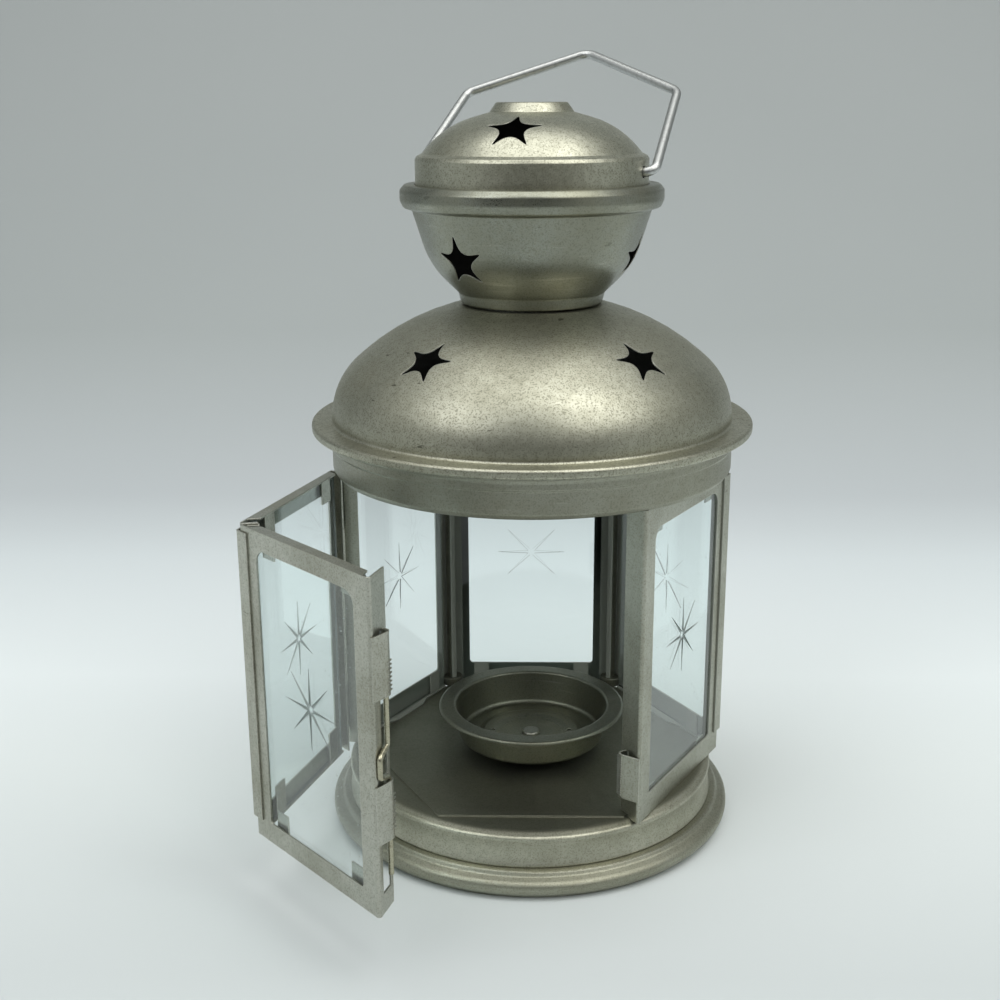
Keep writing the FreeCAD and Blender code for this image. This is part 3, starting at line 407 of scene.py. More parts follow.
class Recipe:
    """A material under construction: it adds nodes, sets their inputs and links them."""

    def __init__(self, name: str) -> None:
        """Start an empty node material.

        Args:
            name: the material's name.
        """
        self.material = bpy.data.materials.new(name)
        self.material.use_nodes = True
        self.tree = self.material.node_tree
        self.tree.nodes.clear()
        self.surface = self.tree.nodes.new("ShaderNodeOutputMaterial")

    def add(self, kind: str, inputs: dict | None = None, **settings: object) -> bpy.types.Node:
        """Add a node.

        Args:
            kind: the node's type, without its "ShaderNode" prefix.
            inputs: what each input gets, a plain value or the socket of another node.
            settings: the node's own properties.

        Returns:
            The new node.
        """
        node = self.tree.nodes.new("ShaderNode" + kind)
        for name, setting in settings.items():
            setattr(node, name, setting)
        for name, given in (inputs or {}).items():
            socket = node.inputs[name]
            if isinstance(given, bpy.types.NodeSocket):
                self.tree.links.new(given, socket)
            else:
                socket.default_value = given
        return node

    def place(self) -> bpy.types.NodeSocket:
        """The point being shaded, in the object's own coordinates."""
        return self.add("TexCoord").outputs["Object"]

    def noise(self, scale: float, detail: float = 2.0, stretch: tuple[float, float, float] | None = None,
              turn: float = 0.0) -> bpy.types.NodeSocket:
        """Soft random values from 0 to 1.

        Args:
            scale: how many grains there are to a metre.
            detail: how many finer layers are laid over the first.
            stretch: grains to a metre along X, Y and Z instead of one scale.
            turn: how far the pattern is turned about Z, in radians.

        Returns:
            The value socket.
        """
        where = self.place()
        if stretch is not None:
            where = self.add("Mapping", {"Vector": where, "Scale": stretch, "Rotation": (0.0, 0.0, turn)}
                             ).outputs["Vector"]
            scale = 1.0
        return self.add("TexNoise", {"Vector": where, "Scale": scale, "Detail": detail}).outputs["Fac"]

    def ramp(self, factor: bpy.types.NodeSocket, low: float, high: float, start: float = 0.0,
             end: float = 1.0) -> bpy.types.NodeSocket:
        """A value taken from one range to another and held at its ends.

        Args:
            factor: the value to take.
            low: the value that becomes start.
            high: the value that becomes end.
            start: the result at low.
            end: the result at high.

        Returns:
            The value socket.
        """
        node = self.add("MapRange", {"Value": factor, "From Min": low, "From Max": high, "To Min": start,
                                     "To Max": end}, clamp=True)
        return node.outputs["Result"]

    def reckon(self, operation: str, first: object, second: object = 0.0) -> bpy.types.NodeSocket:
        """The result of one sum on two values or sockets."""
        node = self.add("Math", operation=operation)
        for socket, given in zip(node.inputs, (first, second)):
            if isinstance(given, bpy.types.NodeSocket):
                self.tree.links.new(given, socket)
            else:
                socket.default_value = given
        return node.outputs["Value"]

    def blend(self, factor: object, first: object, second: object, mode: str = "MIX") -> bpy.types.NodeSocket:
        """One colour laid over another.

        Args:
            factor: how much of the second shows, a value or a socket.
            first: the colour below, as three numbers or a socket.
            second: the colour above.
            mode: how the two are laid together.

        Returns:
            The colour socket.
        """
        node = self.add("Mix", data_type="RGBA", blend_type=mode)
        for index, given in ((0, factor), (6, first), (7, second)):
            if isinstance(given, bpy.types.NodeSocket):
                self.tree.links.new(given, node.inputs[index])
            elif index == 0:
                node.inputs[index].default_value = given
            else:
                node.inputs[index].default_value = (*given, 1.0)
        return node.outputs[2]

    def dot(self, first: object, second: object) -> bpy.types.NodeSocket:
        """The dot product of two vectors, given as three numbers or as sockets."""
        node = self.add("VectorMath", operation="DOT_PRODUCT")
        for socket, given in zip(node.inputs, (first, second)):
            if isinstance(given, bpy.types.NodeSocket):
                self.tree.links.new(given, socket)
            else:
                socket.default_value = given
        return node.outputs["Value"]

    def inside(self, height: float) -> bpy.types.NodeSocket:
        """1 on the faces that look at a point on the lantern's axis, 0 on those that look away.

        Args:
            height: how high the point lies, in metres.

        Returns:
            The value socket.
        """
        coordinates = self.add("TexCoord")
        away = self.add("VectorMath", {0: coordinates.outputs["Object"], 1: (0.0, 0.0, height)},
                        operation="SUBTRACT")
        outward = self.add("VectorMath", {0: away.outputs["Vector"]}, operation="NORMALIZE")
        return self.ramp(self.dot(outward.outputs["Vector"], coordinates.outputs["Normal"]), -0.12, -0.3)

    def folds(self, reach: float) -> tuple[bpy.types.NodeSocket, bpy.types.NodeSocket]:
        """Normals that turn softly over each sharp edge, and how near an edge the point is.

        Args:
            reach: how far from an edge the normals start to turn, in metres.

        Returns:
            The normal socket and the edge value's socket.
        """
        soft = self.add("Bevel", {"Radius": reach}, samples=4).outputs["Normal"]
        flat = self.add("NewGeometry").outputs["Normal"]
        return soft, self.ramp(self.dot(soft, flat), 0.985, 0.90)

    def bump(self, layers: list[tuple[object, float]],
             normal: bpy.types.NodeSocket | None = None) -> bpy.types.NodeSocket:
        """Relief from several height patterns.

        Args:
            layers: pairs of a height socket from 0 to 1 and its depth in metres.
            normal: the normals that the relief is laid on, if not the surface's own.

        Returns:
            The normal socket of the last layer.
        """
        for height, depth in layers:
            inputs = {"Height": height, "Distance": depth, "Strength": 1.0}
            if normal is not None:
                inputs["Normal"] = normal
            normal = self.add("Bump", inputs).outputs["Normal"]
        return normal

    def finish(self, shader: bpy.types.NodeSocket) -> bpy.types.Material:
        """Link the last shader to the surface and hand the material over."""
        self.tree.links.new(shader, self.surface.inputs["Surface"])
        return self.material


@dataclass(frozen=True)
class TinFinish:
    """Satin tin plate: warm grey metal with fine specks, mottling, tarnish, scratches, and edges lightened
    partly as worn bare metal and partly as a painted highlight.

    Where a point on the axis is given, the faces that look at it are darkened with painted shade of the
    enclosed inside. Where a height is given, all that lies above it is darkened and dulled with painted
    shade.
    """

    name: str
    metal: Colour = (0.46, 0.455, 0.37)
    tarnish: Colour = (0.25, 0.245, 0.18)
    gloss: float = 0.37
    speckle: float = 0.5
    patches: float = 0.4
    scratches: float = 0.35
    marks: float = 0.4
    edge_shine: float = 0.5
    edge_reach: float = 0.35 * MM
    wear: Wear = Wear.ROUND
    # Painted shade: inner faces that look at this point on the axis take this dark colour.
    inner_shade_height: float | None = None
    inner_shade: Colour = (0.012, 0.011, 0.009)
    # Painted shade: everything above this height takes this darker colour.
    upper_shade_height: float | None = None
    upper_shade: Colour = (0.18, 0.18, 0.135)
    speck: Colour = (0.16, 0.155, 0.115)
    dash: Colour = (0.09, 0.085, 0.06)
    scratch: Colour = (0.66, 0.65, 0.57)
    # Lightened edge colour: partly worn bare metal, partly a painted highlight.
    bare_edge_highlight: Colour = (0.78, 0.77, 0.70)
    patch_scale: float = 38.0
    wave_scale: float = 55.0
    mottle_scale: float = 520.0
    speck_scale: float = 2100.0
    grain_scale: float = 3600.0
    dash_scales: tuple[float, float, float] = (170.0, 170.0, 700.0)
    dash_turn: float = 0.6

    def make(self) -> bpy.types.Material:
        """Build the material."""
        recipe = Recipe(self.name)
        patch = recipe.ramp(recipe.noise(self.patch_scale, 5.0), 0.42, 0.68)
        mottle = recipe.ramp(recipe.noise(self.mottle_scale, 5.0), 0.38, 0.66)
        grain = recipe.noise(self.grain_scale, 2.0)
        specks = recipe.ramp(recipe.noise(self.speck_scale, 2.0), 0.52, 0.62)
        dashes = recipe.ramp(recipe.noise(1.0, 4.0, self.dash_scales, self.dash_turn), 0.70, 0.74)
        lines = recipe.ramp(recipe.noise(1.0, 3.0, self.wear.value), 0.62, 0.74)
        soft, edge = recipe.folds(self.edge_reach)
        colour = recipe.blend(recipe.reckon("MULTIPLY", patch, self.patches), self.metal, self.tarnish)
        colour = recipe.blend(recipe.reckon("MULTIPLY", mottle, 0.45 * self.speckle), colour, self.tarnish)
        colour = recipe.blend(recipe.reckon("MULTIPLY", specks, 0.7 * self.speckle), colour, self.speck)
        colour = recipe.blend(recipe.reckon("MULTIPLY", dashes, self.marks), colour, self.dash)
        colour = recipe.blend(recipe.reckon("MULTIPLY", lines, self.scratches * 0.4), colour, self.scratch)
        # Edges lightened: partly worn bare metal, partly a painted highlight along the folds.
        colour = recipe.blend(recipe.reckon("MULTIPLY", edge, self.edge_shine), colour, self.bare_edge_highlight)
        rough = recipe.ramp(grain, 0.3, 0.7, self.gloss - 0.06, self.gloss + 0.1)
        rough = recipe.reckon("ADD", rough, recipe.reckon("MULTIPLY", patch, 0.1))
        rough = recipe.reckon("ADD", rough, recipe.reckon("MULTIPLY", specks, 0.10 * self.speckle))
        rough = recipe.reckon("SUBTRACT", rough, recipe.reckon("MULTIPLY", lines, 0.08 * self.scratches))
        # Painted shade above the given height: the colour darkens and the surface dulls.
        if self.upper_shade_height is not None:
            height = recipe.add("SeparateXYZ", {"Vector": recipe.place()}).outputs["Z"]
            shaded_above = recipe.ramp(height, self.upper_shade_height - 0.4 * MM, self.upper_shade_height)
            colour = recipe.blend(recipe.reckon("MULTIPLY", shaded_above, 0.8), colour, self.upper_shade)
            rough = recipe.reckon("ADD", rough, recipe.reckon("MULTIPLY", shaded_above, 0.06))
        metallic = 1.0
        # Painted shade of the enclosed inside: faces that look at the given point on the axis go dark and
        # matt.
        if self.inner_shade_height is not None:
            shaded_inside = recipe.inside(self.inner_shade_height)
            colour = recipe.blend(shaded_inside, colour, self.inner_shade)
            rough = recipe.reckon("ADD", rough, recipe.reckon("MULTIPLY", shaded_inside, 0.4))
            metallic = recipe.reckon("SUBTRACT", 1.0, shaded_inside)
        waves = recipe.noise(self.wave_scale, 2.0)
        normal = recipe.bump([(waves, 0.22 * MM), (mottle, 0.010 * MM), (grain, 0.005 * MM),
                              (lines, -0.005 * MM)], soft)
        shader = recipe.add("BsdfPrincipled", {"Base Color": colour, "Metallic": metallic, "Roughness": rough,
                                               "Normal": normal})
        return recipe.finish(shader.outputs["BSDF"])


@dataclass(frozen=True)
class WireFinish:
    """Plated wire with fine draw lines and dull spots."""

    name: str
    metal: Colour
    dull: Colour
    gloss: float = 0.2

    def make(self) -> bpy.types.Material:
        """Build the material."""
        recipe = Recipe(self.name)
        spots = recipe.ramp(recipe.noise(700.0, 3.0), 0.5, 0.75)
        lines = recipe.noise(2400.0, 2.0)
        colour = recipe.blend(recipe.reckon("MULTIPLY", spots, 0.6), self.metal, self.dull)
        rough = recipe.ramp(lines, 0.3, 0.7, self.gloss - 0.05, self.gloss + 0.12)
        normal = recipe.bump([(lines, 0.006 * MM), (spots, 0.02 * MM)])
        shader = recipe.add("BsdfPrincipled", {"Base Color": colour, "Metallic": 1.0, "Roughness": rough,
                                               "Normal": normal})
        return recipe.finish(shader.outputs["BSDF"])


@dataclass(frozen=True)
class GlassFinish:
    """Clear window glass, a little green in its depth, with ground edges and a cut star.

    The pane lies between two distances along the way that it faces. What lies between them, the
    edges and the grooves of the star, is ground and lets little light through.
    """

    name: str
    facing: tuple[float, float, float]
    inner: float
    outer: float
    star: tuple[float, float, float]
    tint: Colour = (0.93, 0.985, 0.98)
    ground: Colour = (0.30, 0.34, 0.33)
    clearness: float = 0.35
    worn: bool = False
    shadow: Colour = (0.92, 0.97, 0.96)

    @classmethod
    def of_pane(cls, pane: bpy.types.Object, behind: bool) -> "GlassFinish":
        """The finish for one pane, with its place read from its mesh.

        Args:
            pane: the pane's solid.
            behind: whether the pane stands behind the others, where its star hardly shows.

        Returns:
            The finish.
        """
        widest = max(pane.data.polygons, key=lambda polygon: polygon.area)
        facing = widest.normal.copy()
        places = [vertex.co for vertex in pane.data.vertices]
        depths = [facing.dot(place) for place in places]
        inner, outer = min(depths), max(depths)
        floor = [place for place, depth in zip(places, depths) if inner + 0.1 * MM < depth < outer - 0.1 * MM]
        star = sum(floor, Vector()) / max(1, len(floor))
        faint = {"ground": cls.tint, "clearness": 1.0} if behind else {}
        return cls("clear_" + pane.name, tuple(facing), inner, outer, tuple(star), worn=behind, **faint)

    def make(self) -> bpy.types.Material:
        """Build the material."""
        recipe = Recipe(self.name)
        smudge = recipe.ramp(recipe.noise(60.0, 4.0), 0.45, 0.75, 0.0, 0.03)
        specks = recipe.ramp(recipe.noise(900.0, 1.0), 0.72, 0.76, 0.0, 0.25)
        glass = recipe.add("BsdfPrincipled", {"Base Color": (*self.tint, 1.0), "IOR": 1.5,
                                              "Roughness": recipe.reckon("ADD", smudge, specks),
                                              "Transmission Weight": 1.0})
        grit = recipe.ramp(recipe.noise(3000.0, 2.0), 0.3, 0.7, 0.35, 0.6)
        cut = recipe.add("BsdfPrincipled", {"Base Color": (*self.ground, 1.0), "Roughness": grit, "IOR": 1.5,
                                            "Transmission Weight": self.clearness})
        if self.worn:
            side = recipe.reckon("SIGN", recipe.dot(recipe.add("NewGeometry").outputs["Normal"], self.facing))
            flat = recipe.add("VectorMath", {0: self.facing, "Scale": side}, operation="SCALE")
            recipe.tree.links.new(flat.outputs["Vector"], cut.inputs["Normal"])
            recipe.tree.links.new(recipe.reckon("MULTIPLY", grit, 0.4), cut.inputs["Roughness"])
        depth = recipe.dot(recipe.place(), self.facing)
        above = recipe.ramp(depth, self.inner + 0.02 * MM, self.inner + 0.04 * MM)
        below = recipe.ramp(depth, self.outer - 0.04 * MM, self.outer - 0.02 * MM, 1.0, 0.0)
        away = recipe.add("VectorMath", {0: recipe.place(), 1: self.star}, operation="DISTANCE")
        rays = recipe.ramp(away.outputs["Value"], 0.5 * MM, 1.8 * MM)
        ground = recipe.reckon("MULTIPLY", recipe.reckon("MULTIPLY", above, below), rays)
        pane = recipe.add("MixShader", {0: ground, 1: glass.outputs["BSDF"], 2: cut.outputs["BSDF"]})
        open_way = recipe.add("BsdfTransparent", {"Color": (*self.shadow, 1.0)})
        path = recipe.add("LightPath")
        mixed = recipe.add("MixShader", {0: path.outputs["Is Shadow Ray"], 1: pane.outputs["Shader"],
                                         2: open_way.outputs["BSDF"]})
        return recipe.finish(mixed.outputs["Shader"])


def glaze(nodes: dict[str, bpy.types.Object], names: tuple[str, ...]) -> None:
    """Give each pane its own glass.

    Args:
        nodes: the frame's solids by name.
        names: the panes.
    """
    for name in names:
        dress(nodes, [name], GlassFinish.of_pane(nodes[name], name in FAR_PANES).make())


def dress(nodes: dict[str, bpy.types.Object], names: list[str], material: bpy.types.Material) -> None:
    """Give solids of the frame a finish.

    Args:
        nodes: the frame's solids by name.
        names: which of them.
        material: the finish.
    """
    for name in names:
        nodes[name].data.materials.clear()
        nodes[name].data.materials.append(material)
        log.info("dressed %s in %s", name, material.name)


@dataclass(frozen=True)
class Lamp:
    """One soft rectangular lamp."""

    name: str
    place: tuple[float, float, float]
    target: tuple[float, float, float]
    width: float
    height: float
    power: float
    colour: Colour = (1.0, 1.0, 1.0)

    def hang(self) -> None:
        """Put the lamp in the scene, out of the camera's sight."""
        light = bpy.data.lights.new(self.name, "AREA")
        light.shape = "RECTANGLE"
        light.size = self.width
        light.size_y = self.height
        light.energy = self.power
        light.color = self.colour
        lamp = bpy.data.objects.new(self.name, light)
        bpy.context.scene.collection.objects.link(lamp)
        lamp.location = self.place
        lamp.rotation_euler = (Vector(self.target) - Vector(self.place)).to_track_quat("-Z", "Y").to_euler()
        lamp.visible_camera = False


@dataclass
class Studio:
    """The pale sweep that the lantern stands on, the soft lamps and the camera."""

    eye: tuple[float, float, float] = (0.0, -0.41679, 0.22604)
    forward: tuple[float, float, float] = (-0.02296, 0.95957, -0.28055)
    upward: tuple[float, float, float] = (-0.00131, 0.28059, 0.95983)
    lens: float = 49.16
    sweep_width: float = 6.0
    floor_front: float = -0.7
    floor_back: float = 0.30
    sweep_radius: float = 0.75
    sweep_top: float = 1.8
    sweep_steps: int = 24
    room_tone: Colour = (0.40, 0.425, 0.425)
    room_light: float = 1.05
    onlooker_tone: Colour = (0.035, 0.035, 0.03)
    onlooker_width: tuple[float, float] = (0.45, 0.85)
    onlooker_top: tuple[float, float] = (0.15, 0.45)
    tone_front: float = -0.1
    tone_back: float = 0.9
    # Floor and backdrop colours along Y with painted light and shade: a painted shadow in front of the
    # lantern, a painted pool of light just behind it, painted falloff up the backdrop.
    painted_light_tones: tuple[tuple[float, Colour], ...] = (
        (0.0, (0.60, 0.64, 0.645)), (0.12, (0.76, 0.805, 0.805)), (0.20, (0.83, 0.88, 0.89)),
        (0.35, (0.70, 0.75, 0.77)), (0.46, (0.55, 0.585, 0.605)), (0.70, (0.425, 0.455, 0.455)),
        (1.0, (0.42, 0.445, 0.445)),
    )
    lamps: list[Lamp] = field(default_factory=lambda: [
        Lamp("overhead", (0.0, -0.08, 1.4), (0.0, 0.05, 0.1), 1.4, 0.9, 7.4, (1.0, 0.995, 0.97)),
        Lamp("key_right", (0.66, -0.60, 1.12), (0.0, 0.0, 0.15), 1.1, 1.1, 7.6, (1.0, 0.99, 0.95)),
        Lamp("fill_left", (-0.78, -0.70, 1.05), (0.0, 0.0, 0.15), 0.9, 0.9, 5.2, (0.99, 0.995, 1.0)),
    ])

    def set_camera(self) -> None:
        """Put the camera where the picture was taken from."""
        data = bpy.data.cameras.new("camera")
        data.lens = self.lens
        data.sensor_width = 36.0
        data.clip_start = 0.01
        data.clip_end = 50.0
        camera = bpy.data.objects.new("camera", data)
        bpy.context.scene.collection.objects.link(camera)
        forward = Vector(self.forward).normalized()
        right = forward.cross(Vector(self.upward)).normalized()
        up = right.cross(forward)
        turn = Matrix((right, up, -forward)).transposed().to_4x4()
        camera.matrix_world = Matrix.Translation(self.eye) @ turn
        bpy.context.scene.camera = camera

    def sweep_material(self) -> bpy.types.Material:
        """Matt pale paper with painted light and shade: darker in front of the lantern, brightest just behind
        it, darker where it rises.
        """
        recipe = Recipe("sweep_paper")
        split = recipe.add("SeparateXYZ", {"Vector": recipe.place()})
        depth = recipe.ramp(split.outputs["Y"], self.tone_front, self.tone_back)
        painted_light_tones = recipe.add("ValToRGB", {"Fac": depth})
        ramp = painted_light_tones.color_ramp
        while len(ramp.elements) < len(self.painted_light_tones):
            ramp.elements.new(0.5)
        for element, (where, tone) in zip(ramp.elements, self.painted_light_tones):
            element.position = where
            element.color = (*tone, 1.0)
        cloud = recipe.ramp(recipe.noise(2.2, 2.0), 0.3, 0.7, 0.0, 0.05)
        colour = recipe.blend(cloud, painted_light_tones.outputs["Color"], (0.80, 0.82, 0.82))
        shader = recipe.add("BsdfPrincipled", {"Base Color": colour, "Roughness": 0.9})
        shader.inputs["Specular IOR Level"].default_value = 0.2
        return recipe.finish(shader.outputs["BSDF"])

    def lay_sweep(self) -> None:
        """Lay the floor and draw its far edge up into the backdrop."""
        depth = self.floor_back - self.floor_front
        middle = (self.floor_back + self.floor_front) / 2
        bpy.ops.object.select_all(action="DESELECT")
        bpy.ops.mesh.primitive_plane_add(size=1.0, location=(0.0, middle, 0.0))
        sweep = bpy.context.object
        sweep.name = "sweep"
        sweep.scale = (self.sweep_width, depth, 1.0)
        bpy.ops.object.transform_apply(location=True, rotation=True, scale=True)
        bpy.ops.object.mode_set(mode="EDIT")
        bpy.ops.mesh.select_mode(type="EDGE")
        bpy.ops.mesh.select_all(action="DESELECT")
        bpy.ops.object.mode_set(mode="OBJECT")
        for edge in sweep.data.edges:
            ends = [sweep.data.vertices[index].co.y for index in edge.vertices]
            edge.select = min(ends) > self.floor_back - MM
        bpy.ops.object.mode_set(mode="EDIT")
        step = math.pi / 2 / self.sweep_steps
        for number in range(self.sweep_steps):
            low, high = number * step, (number + 1) * step
            move = (0.0, self.sweep_radius * (math.sin(high) - math.sin(low)),
                    self.sweep_radius * (math.cos(low) - math.cos(high)))
            bpy.ops.mesh.extrude_region_move(TRANSFORM_OT_translate={"value": move})
        bpy.ops.mesh.extrude_region_move(
            TRANSFORM_OT_translate={"value": (0.0, 0.0, self.sweep_top - self.sweep_radius)})
        bpy.ops.object.mode_set(mode="OBJECT")
        bpy.ops.object.shade_smooth()
        sweep.data.materials.append(self.sweep_material())
        sweep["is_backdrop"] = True

    def light_world(self) -> None:
        """Fill light from all round: a pale room with an onlooker's dark shape behind the camera."""
        world = bpy.data.worlds.new("room")
        bpy.context.scene.world = world
        world.use_nodes = True
        tree = world.node_tree
        background = tree.nodes["Background"]
        way = tree.nodes.new("ShaderNodeTexCoord").outputs["Generated"]
        front, height = self.along(tree, way, (0.0, -1.0, 0.0)), self.along(tree, way, (0.0, 0.0, 1.0))
        towards = self.range_of(tree, front, self.onlooker_width, (0.0, 1.0))
        level = self.range_of(tree, height, self.onlooker_top, (1.0, 0.0))
        onlooker = tree.nodes.new("ShaderNodeMath")
        onlooker.operation = "MULTIPLY"
        tree.links.new(towards, onlooker.inputs[0])
        tree.links.new(level, onlooker.inputs[1])
        shade = tree.nodes.new("ShaderNodeMix")
        shade.data_type = "RGBA"
        tree.links.new(onlooker.outputs["Value"], shade.inputs[0])
        shade.inputs[6].default_value = (*self.room_tone, 1.0)
        shade.inputs[7].default_value = (*self.onlooker_tone, 1.0)
        tree.links.new(shade.outputs[2], background.inputs["Color"])
        background.inputs["Strength"].default_value = self.room_light

    def along(self, tree: bpy.types.NodeTree, way: bpy.types.NodeSocket,
              axis: tuple[float, float, float]) -> bpy.types.NodeSocket:
        """How far a direction points along an axis."""
        node = tree.nodes.new("ShaderNodeVectorMath")
        node.operation = "DOT_PRODUCT"
        tree.links.new(way, node.inputs[0])
        node.inputs[1].default_value = axis
        return node.outputs["Value"]

    def range_of(self, tree: bpy.types.NodeTree, given: bpy.types.NodeSocket, taken: tuple[float, float],
                 becomes: tuple[float, float]) -> bpy.types.NodeSocket:
        """A value taken softly from one range to another."""
        node = tree.nodes.new("ShaderNodeMapRange")
        node.interpolation_type = "SMOOTHSTEP"
        tree.links.new(given, node.inputs["Value"])
        for name, number in zip(("From Min", "From Max", "To Min", "To Max"), (*taken, *becomes)):
            node.inputs[name].default_value = number
        return node.outputs["Result"]

    def set_up(self) -> None:
        """Make the whole studio."""
        self.set_camera()
        self.lay_sweep()
        self.light_world()
        for lamp in self.lamps:
            lamp.hang()
        bpy.context.scene.view_settings.view_transform = "Standard"
        log.info("studio ready")


@dataclass
class Base:
    """Foot ring, waisted pan and deck."""

    foot: str = "base_foot_ring"
    pan: str = "base_pan"
    deck_height: float = 18.7 * MM

    def build(self, nodes: dict[str, bpy.types.Object]) -> None:
        """Dress the base.

        Args:
            nodes: the frame's solids by name.
        """
        # The pan above the deck is darkened with painted shade of the lantern's inside.
        dress(nodes, [self.pan], TinFinish("tin_base", metal=(0.52, 0.515, 0.42), patches=0.5, scratches=0.5,
                                           upper_shade_height=self.deck_height).make())
        dress(nodes, [self.foot], TinFinish("tin_foot", metal=(0.36, 0.36, 0.29), gloss=0.4, patches=0.5,
                                            scratches=0.5).make())


@dataclass
class CandleCup:
    """Cup on its spacer with the rivet through both."""

    def build(self, nodes: dict[str, bpy.types.Object]) -> None:
        """Dress the cup and what carries it.

        Args:
            nodes: the frame's solids by name.
        """
        # The cup's tin is its own olive tone, darkened further with painted shade of the lantern's inside.
        tin = TinFinish("tin_cup", metal=(0.225, 0.23, 0.185), gloss=0.36, speckle=0.7, patches=0.4,
                        edge_shine=0.3).make()
        dress(nodes, ["candle_cup", "cup_spacer"], tin)
        rivet = TinFinish("rivet_steel", metal=(0.34, 0.34, 0.30), gloss=0.32, patches=0.3).make()
        dress(nodes, ["cup_rivet"], rivet)


@dataclass
class Room:
    """The four fixed frames with their panes, corner beads and seam strips."""

    frames: tuple[str, ...] = ("frame_right_front", "frame_right_back", "frame_back", "frame_left_back")
    corners: tuple[str, ...] = ("right", "back_right", "back_left")
    panes: tuple[str, ...] = ("glass_right_front", "glass_right_back", "glass_back", "glass_left_back")
    heart: float = 66.0 * MM
    soldered: tuple[float, ...] = (60.0, 120.0)
    solder_inward: float = 3.2
    solder_radius: float = 4.0
    solder_from: float = -0.1
    solder_to: float = 2.9
    solder_rounding: float = 0.7
    crimps: Crimps = Crimps("crimps_post", CornerSite(LATCH_CORNER), 1.67, 8.2, 0.76, 17)

    def build(self, nodes: dict[str, bpy.types.Object]) -> None:
        """Dress the fixed walls.

        Args:
            nodes: the frame's solids by name.
        """
        metal = list(self.frames)
        for corner in self.corners:
            metal += [f"corner_bead_{corner}", f"seam_strip_{corner}"]
        # The frames' inner faces are darkened with painted shade of the lantern's inside.
        dress(nodes, metal, TinFinish("tin_room", metal=(0.44, 0.445, 0.38), gloss=0.34, wear=Wear.UPRIGHT,
                                      scratches=0.6, inner_shade_height=self.heart, inner_shade=(0.30, 0.31, 0.27)).make())
        glaze(nodes, self.panes)
        self.add_details()
        pin = WireFinish("pin_steel", (0.55, 0.55, 0.51), (0.3, 0.29, 0.24), 0.3).make()
        dress(nodes, ["hinge_pin"], pin)

    def add_details(self) -> None:
        """Model the solder at the back corners' feet and the crimps of the post's loop."""
        solder = TinFinish("solder", metal=(0.20, 0.20, 0.17), gloss=0.45, speckle=0.9).make()
        for azimuth in self.soldered:
            site = CornerSite(azimuth)
            puddle = rod(f"solder_{int(azimuth)}", site.point(self.solder_inward, 0.0, self.solder_from),
                         site.point(self.solder_inward, 0.0, self.solder_to), self.solder_radius * MM, 32)
            bpy.ops.object.mode_set(mode="EDIT")
            bpy.ops.mesh.select_all(action="SELECT")
            bpy.ops.mesh.bevel(offset=self.solder_rounding * MM, segments=3, affect="EDGES",
                               clamp_overlap=True)
            bpy.ops.object.mode_set(mode="OBJECT")
            bpy.ops.object.shade_smooth_by_angle(angle=math.radians(50.0))
            puddle.data.materials.append(solder)
            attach(puddle, Body.LANTERN.value)
        post = self.crimps.model()
        post.data.materials.append(TinFinish("tin_crimps_post", metal=(0.52, 0.52, 0.46), gloss=0.3).make())
        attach(post, Body.LANTERN.value)


@dataclass
class Door:
    """The two joined frames that swing, and the drop pin of their latch."""

    metal: tuple[str, ...] = ("door_frame_left", "door_frame_front", "corner_bead_door", "seam_strip_door")
    panes: tuple[str, ...] = ("glass_door_left", "glass_door_front")
    crimps: tuple[Crimps, ...] = (
        Crimps("crimps_high", CornerSite(LATCH_CORNER, on_door=True), -0.87, 64.0, 1.15, 8),
        Crimps("crimps_low", CornerSite(LATCH_CORNER, on_door=True), -0.87, 25.0, 1.2, 9),
    )

    def build(self, nodes: dict[str, bpy.types.Object], sheet: bpy.types.Material) -> None:
        """Dress the door and its latch pin.

        Args:
            nodes: the frame's solids by name.
            sheet: the finish of the folded sheet.
        """
        dress(nodes, list(self.metal), sheet)
        glaze(nodes, self.panes)
        for crimps in self.crimps:
            ridges = crimps.model()
            ridges.data.materials.append(sheet)
            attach(ridges, Body.DOOR.value)
        # The brass is darkened with painted shade, as the pin stands in the slot's shadow.
        pin = WireFinish("latch_brass", (0.45, 0.43, 0.32), (0.22, 0.20, 0.14), 0.27).make()
        dress(nodes, ["latch_pin"], pin)


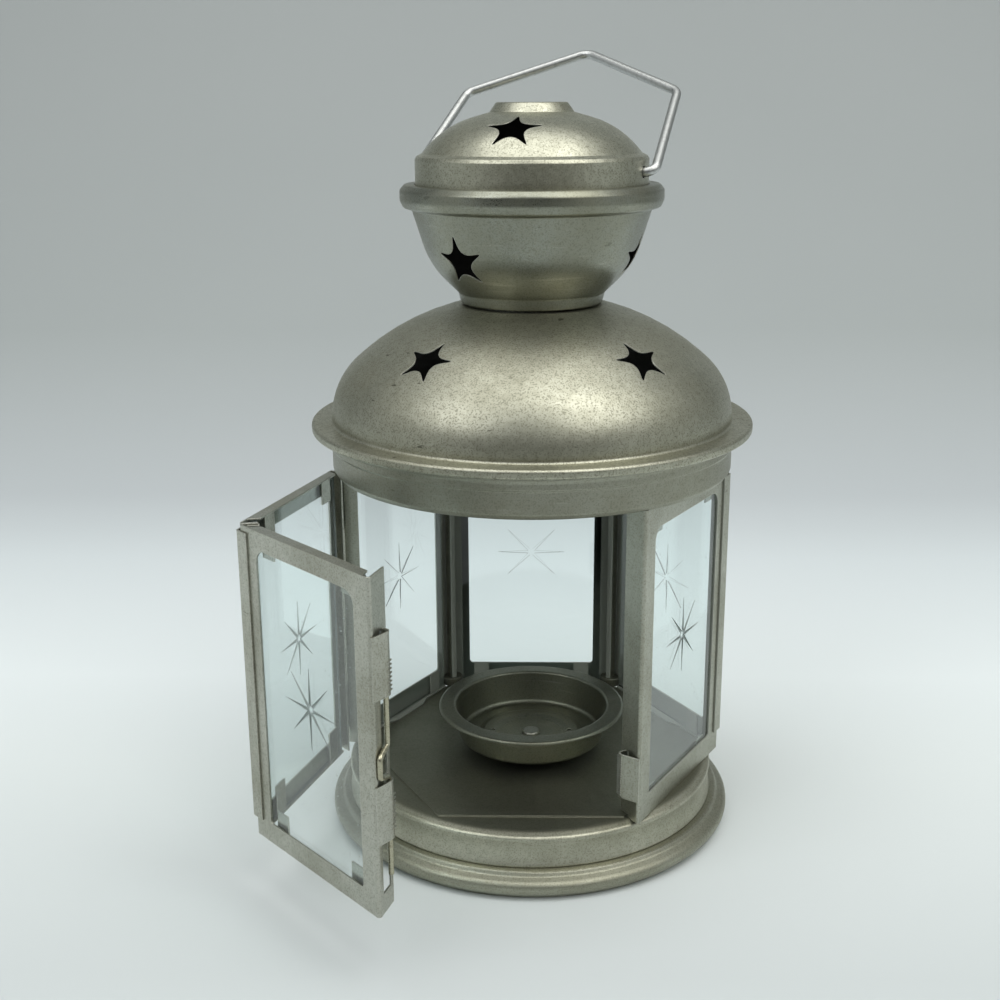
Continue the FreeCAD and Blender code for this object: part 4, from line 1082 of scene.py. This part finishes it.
@dataclass
class Roof:
    """Crown ring, dome, vent bowl, cap and bail."""

    dome: SpunShell = SpunShell(
        "dome_shell",
        (Corner(62.1, 129.3), Corner(68.05, 129.3, 0.75), Corner(68.05, 132.1, 0.93),
         Corner(61.7, 132.1, 0.8), Corner(61.7, 143.55, 22.5), Corner(40.9, 161.4, 72.0),
         Corner(22.7, 166.8, 0.8), Corner(18.5, 166.8)),
        138.0,
        tuple(StarPunch(47.2, 155.7, azimuth, 53.0, turn)
              for azimuth, turn in ((-129.2, -6.0), (-49.0, 3.0), (44.2, 2.0), (137.3, -4.0))),
    )
    bowl: SpunShell = SpunShell(
        "bowl_shell",
        (Corner(18.5, 167.25), Corner(21.4, 167.25, 0.8), Corner(22.3, 170.6, 1.6),
         Corner(30.8, 178.9, 26.0), Corner(35.9, 195.2, 0.6), Corner(38.5, 195.9, 1.1),
         Corner(39.4, 198.0, 3.0), Corner(39.4, 200.9, 1.2), Corner(38.0, 202.5, 1.0),
         Corner(34.9, 202.5)),
        196.0,
        tuple(StarPunch(31.1, 181.6, azimuth, -26.0, turn)
              for azimuth, turn in ((-130.8, 1.5), (-15.0, 4.0), (106.5, -5.0))),
    )
    cap: SpunShell = SpunShell(
        "cap_shell",
        (Corner(34.7, 199.0), Corner(34.7, 209.6, 0.6), Corner(34.2, 210.5, 0.4), Corner(32.6, 211.3, 0.8),
         Corner(25.8, 219.1, 28.0), Corner(12.5, 222.9, 0.6), Corner(10.5, 225.7, 1.0), Corner(0.0, 225.7)),
        204.0,
        tuple(StarPunch(24.1, 218.6, azimuth, 52.0, turn)
              for azimuth, turn in ((-102.7, 1.2), (17.0, 3.0), (137.0, 0.0))),
        BAIL_EYES, 206.2,
    )

    def build(self, nodes: dict[str, bpy.types.Object]) -> None:
        """Model the spun shells and dress the roof and the bail.

        Args:
            nodes: the frame's solids by name.
        """
        crown = TinFinish("tin_crown", metal=(0.34, 0.34, 0.28), patches=0.5, scratches=0.4)
        dress(nodes, ["crown_ring"], crown.make())
        # The inner faces of dome, bowl and cap are darkened with painted shade of the enclosed inside.
        finishes = (
            (self.dome, "roof_dome",
             TinFinish("tin_dome", speckle=0.8, marks=0.8, inner_shade_height=self.dome.heart * MM)),
            (self.bowl, "vent_bowl",
             TinFinish("tin_bowl", metal=(0.285, 0.295, 0.25), gloss=0.29, patches=0.6, speckle=0.6,
                       inner_shade_height=self.bowl.heart * MM)),
            (self.cap, "vent_cap",
             TinFinish("tin_cap", metal=(0.52, 0.515, 0.42), gloss=0.31, speckle=0.75,
                       inner_shade_height=self.cap.heart * MM)),
        )
        for shell, node, finish in finishes:
            piece = shell.model()
            piece.data.materials.append(finish.make())
            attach(piece, Body.LANTERN.value)
            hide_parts(node)
        bright = WireFinish("bail_chrome", (0.50, 0.51, 0.50), (0.33, 0.33, 0.32), 0.34).make()
        dress(nodes, ["bail"], bright)


def main() -> list[list[float]]:
    """Build the studio and the lantern in order.

    Returns:
        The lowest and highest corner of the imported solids.
    """
    logging.basicConfig(level=logging.INFO, format="%(name)s: %(message)s")
    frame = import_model()
    packed_box = [list(corner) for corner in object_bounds()]
    nodes = frame["nodes"]
    Studio().set_up()
    sheet = TinFinish("tin_folded", metal=(0.50, 0.50, 0.44), gloss=0.34, wear=Wear.UPRIGHT,
                      scratches=0.6).make()
    Base().build(nodes)
    CandleCup().build(nodes)
    Room().build(nodes)
    Door().build(nodes, sheet)
    Roof().build(nodes)
    return packed_box


if __name__ == "__main__":
    packed = main()
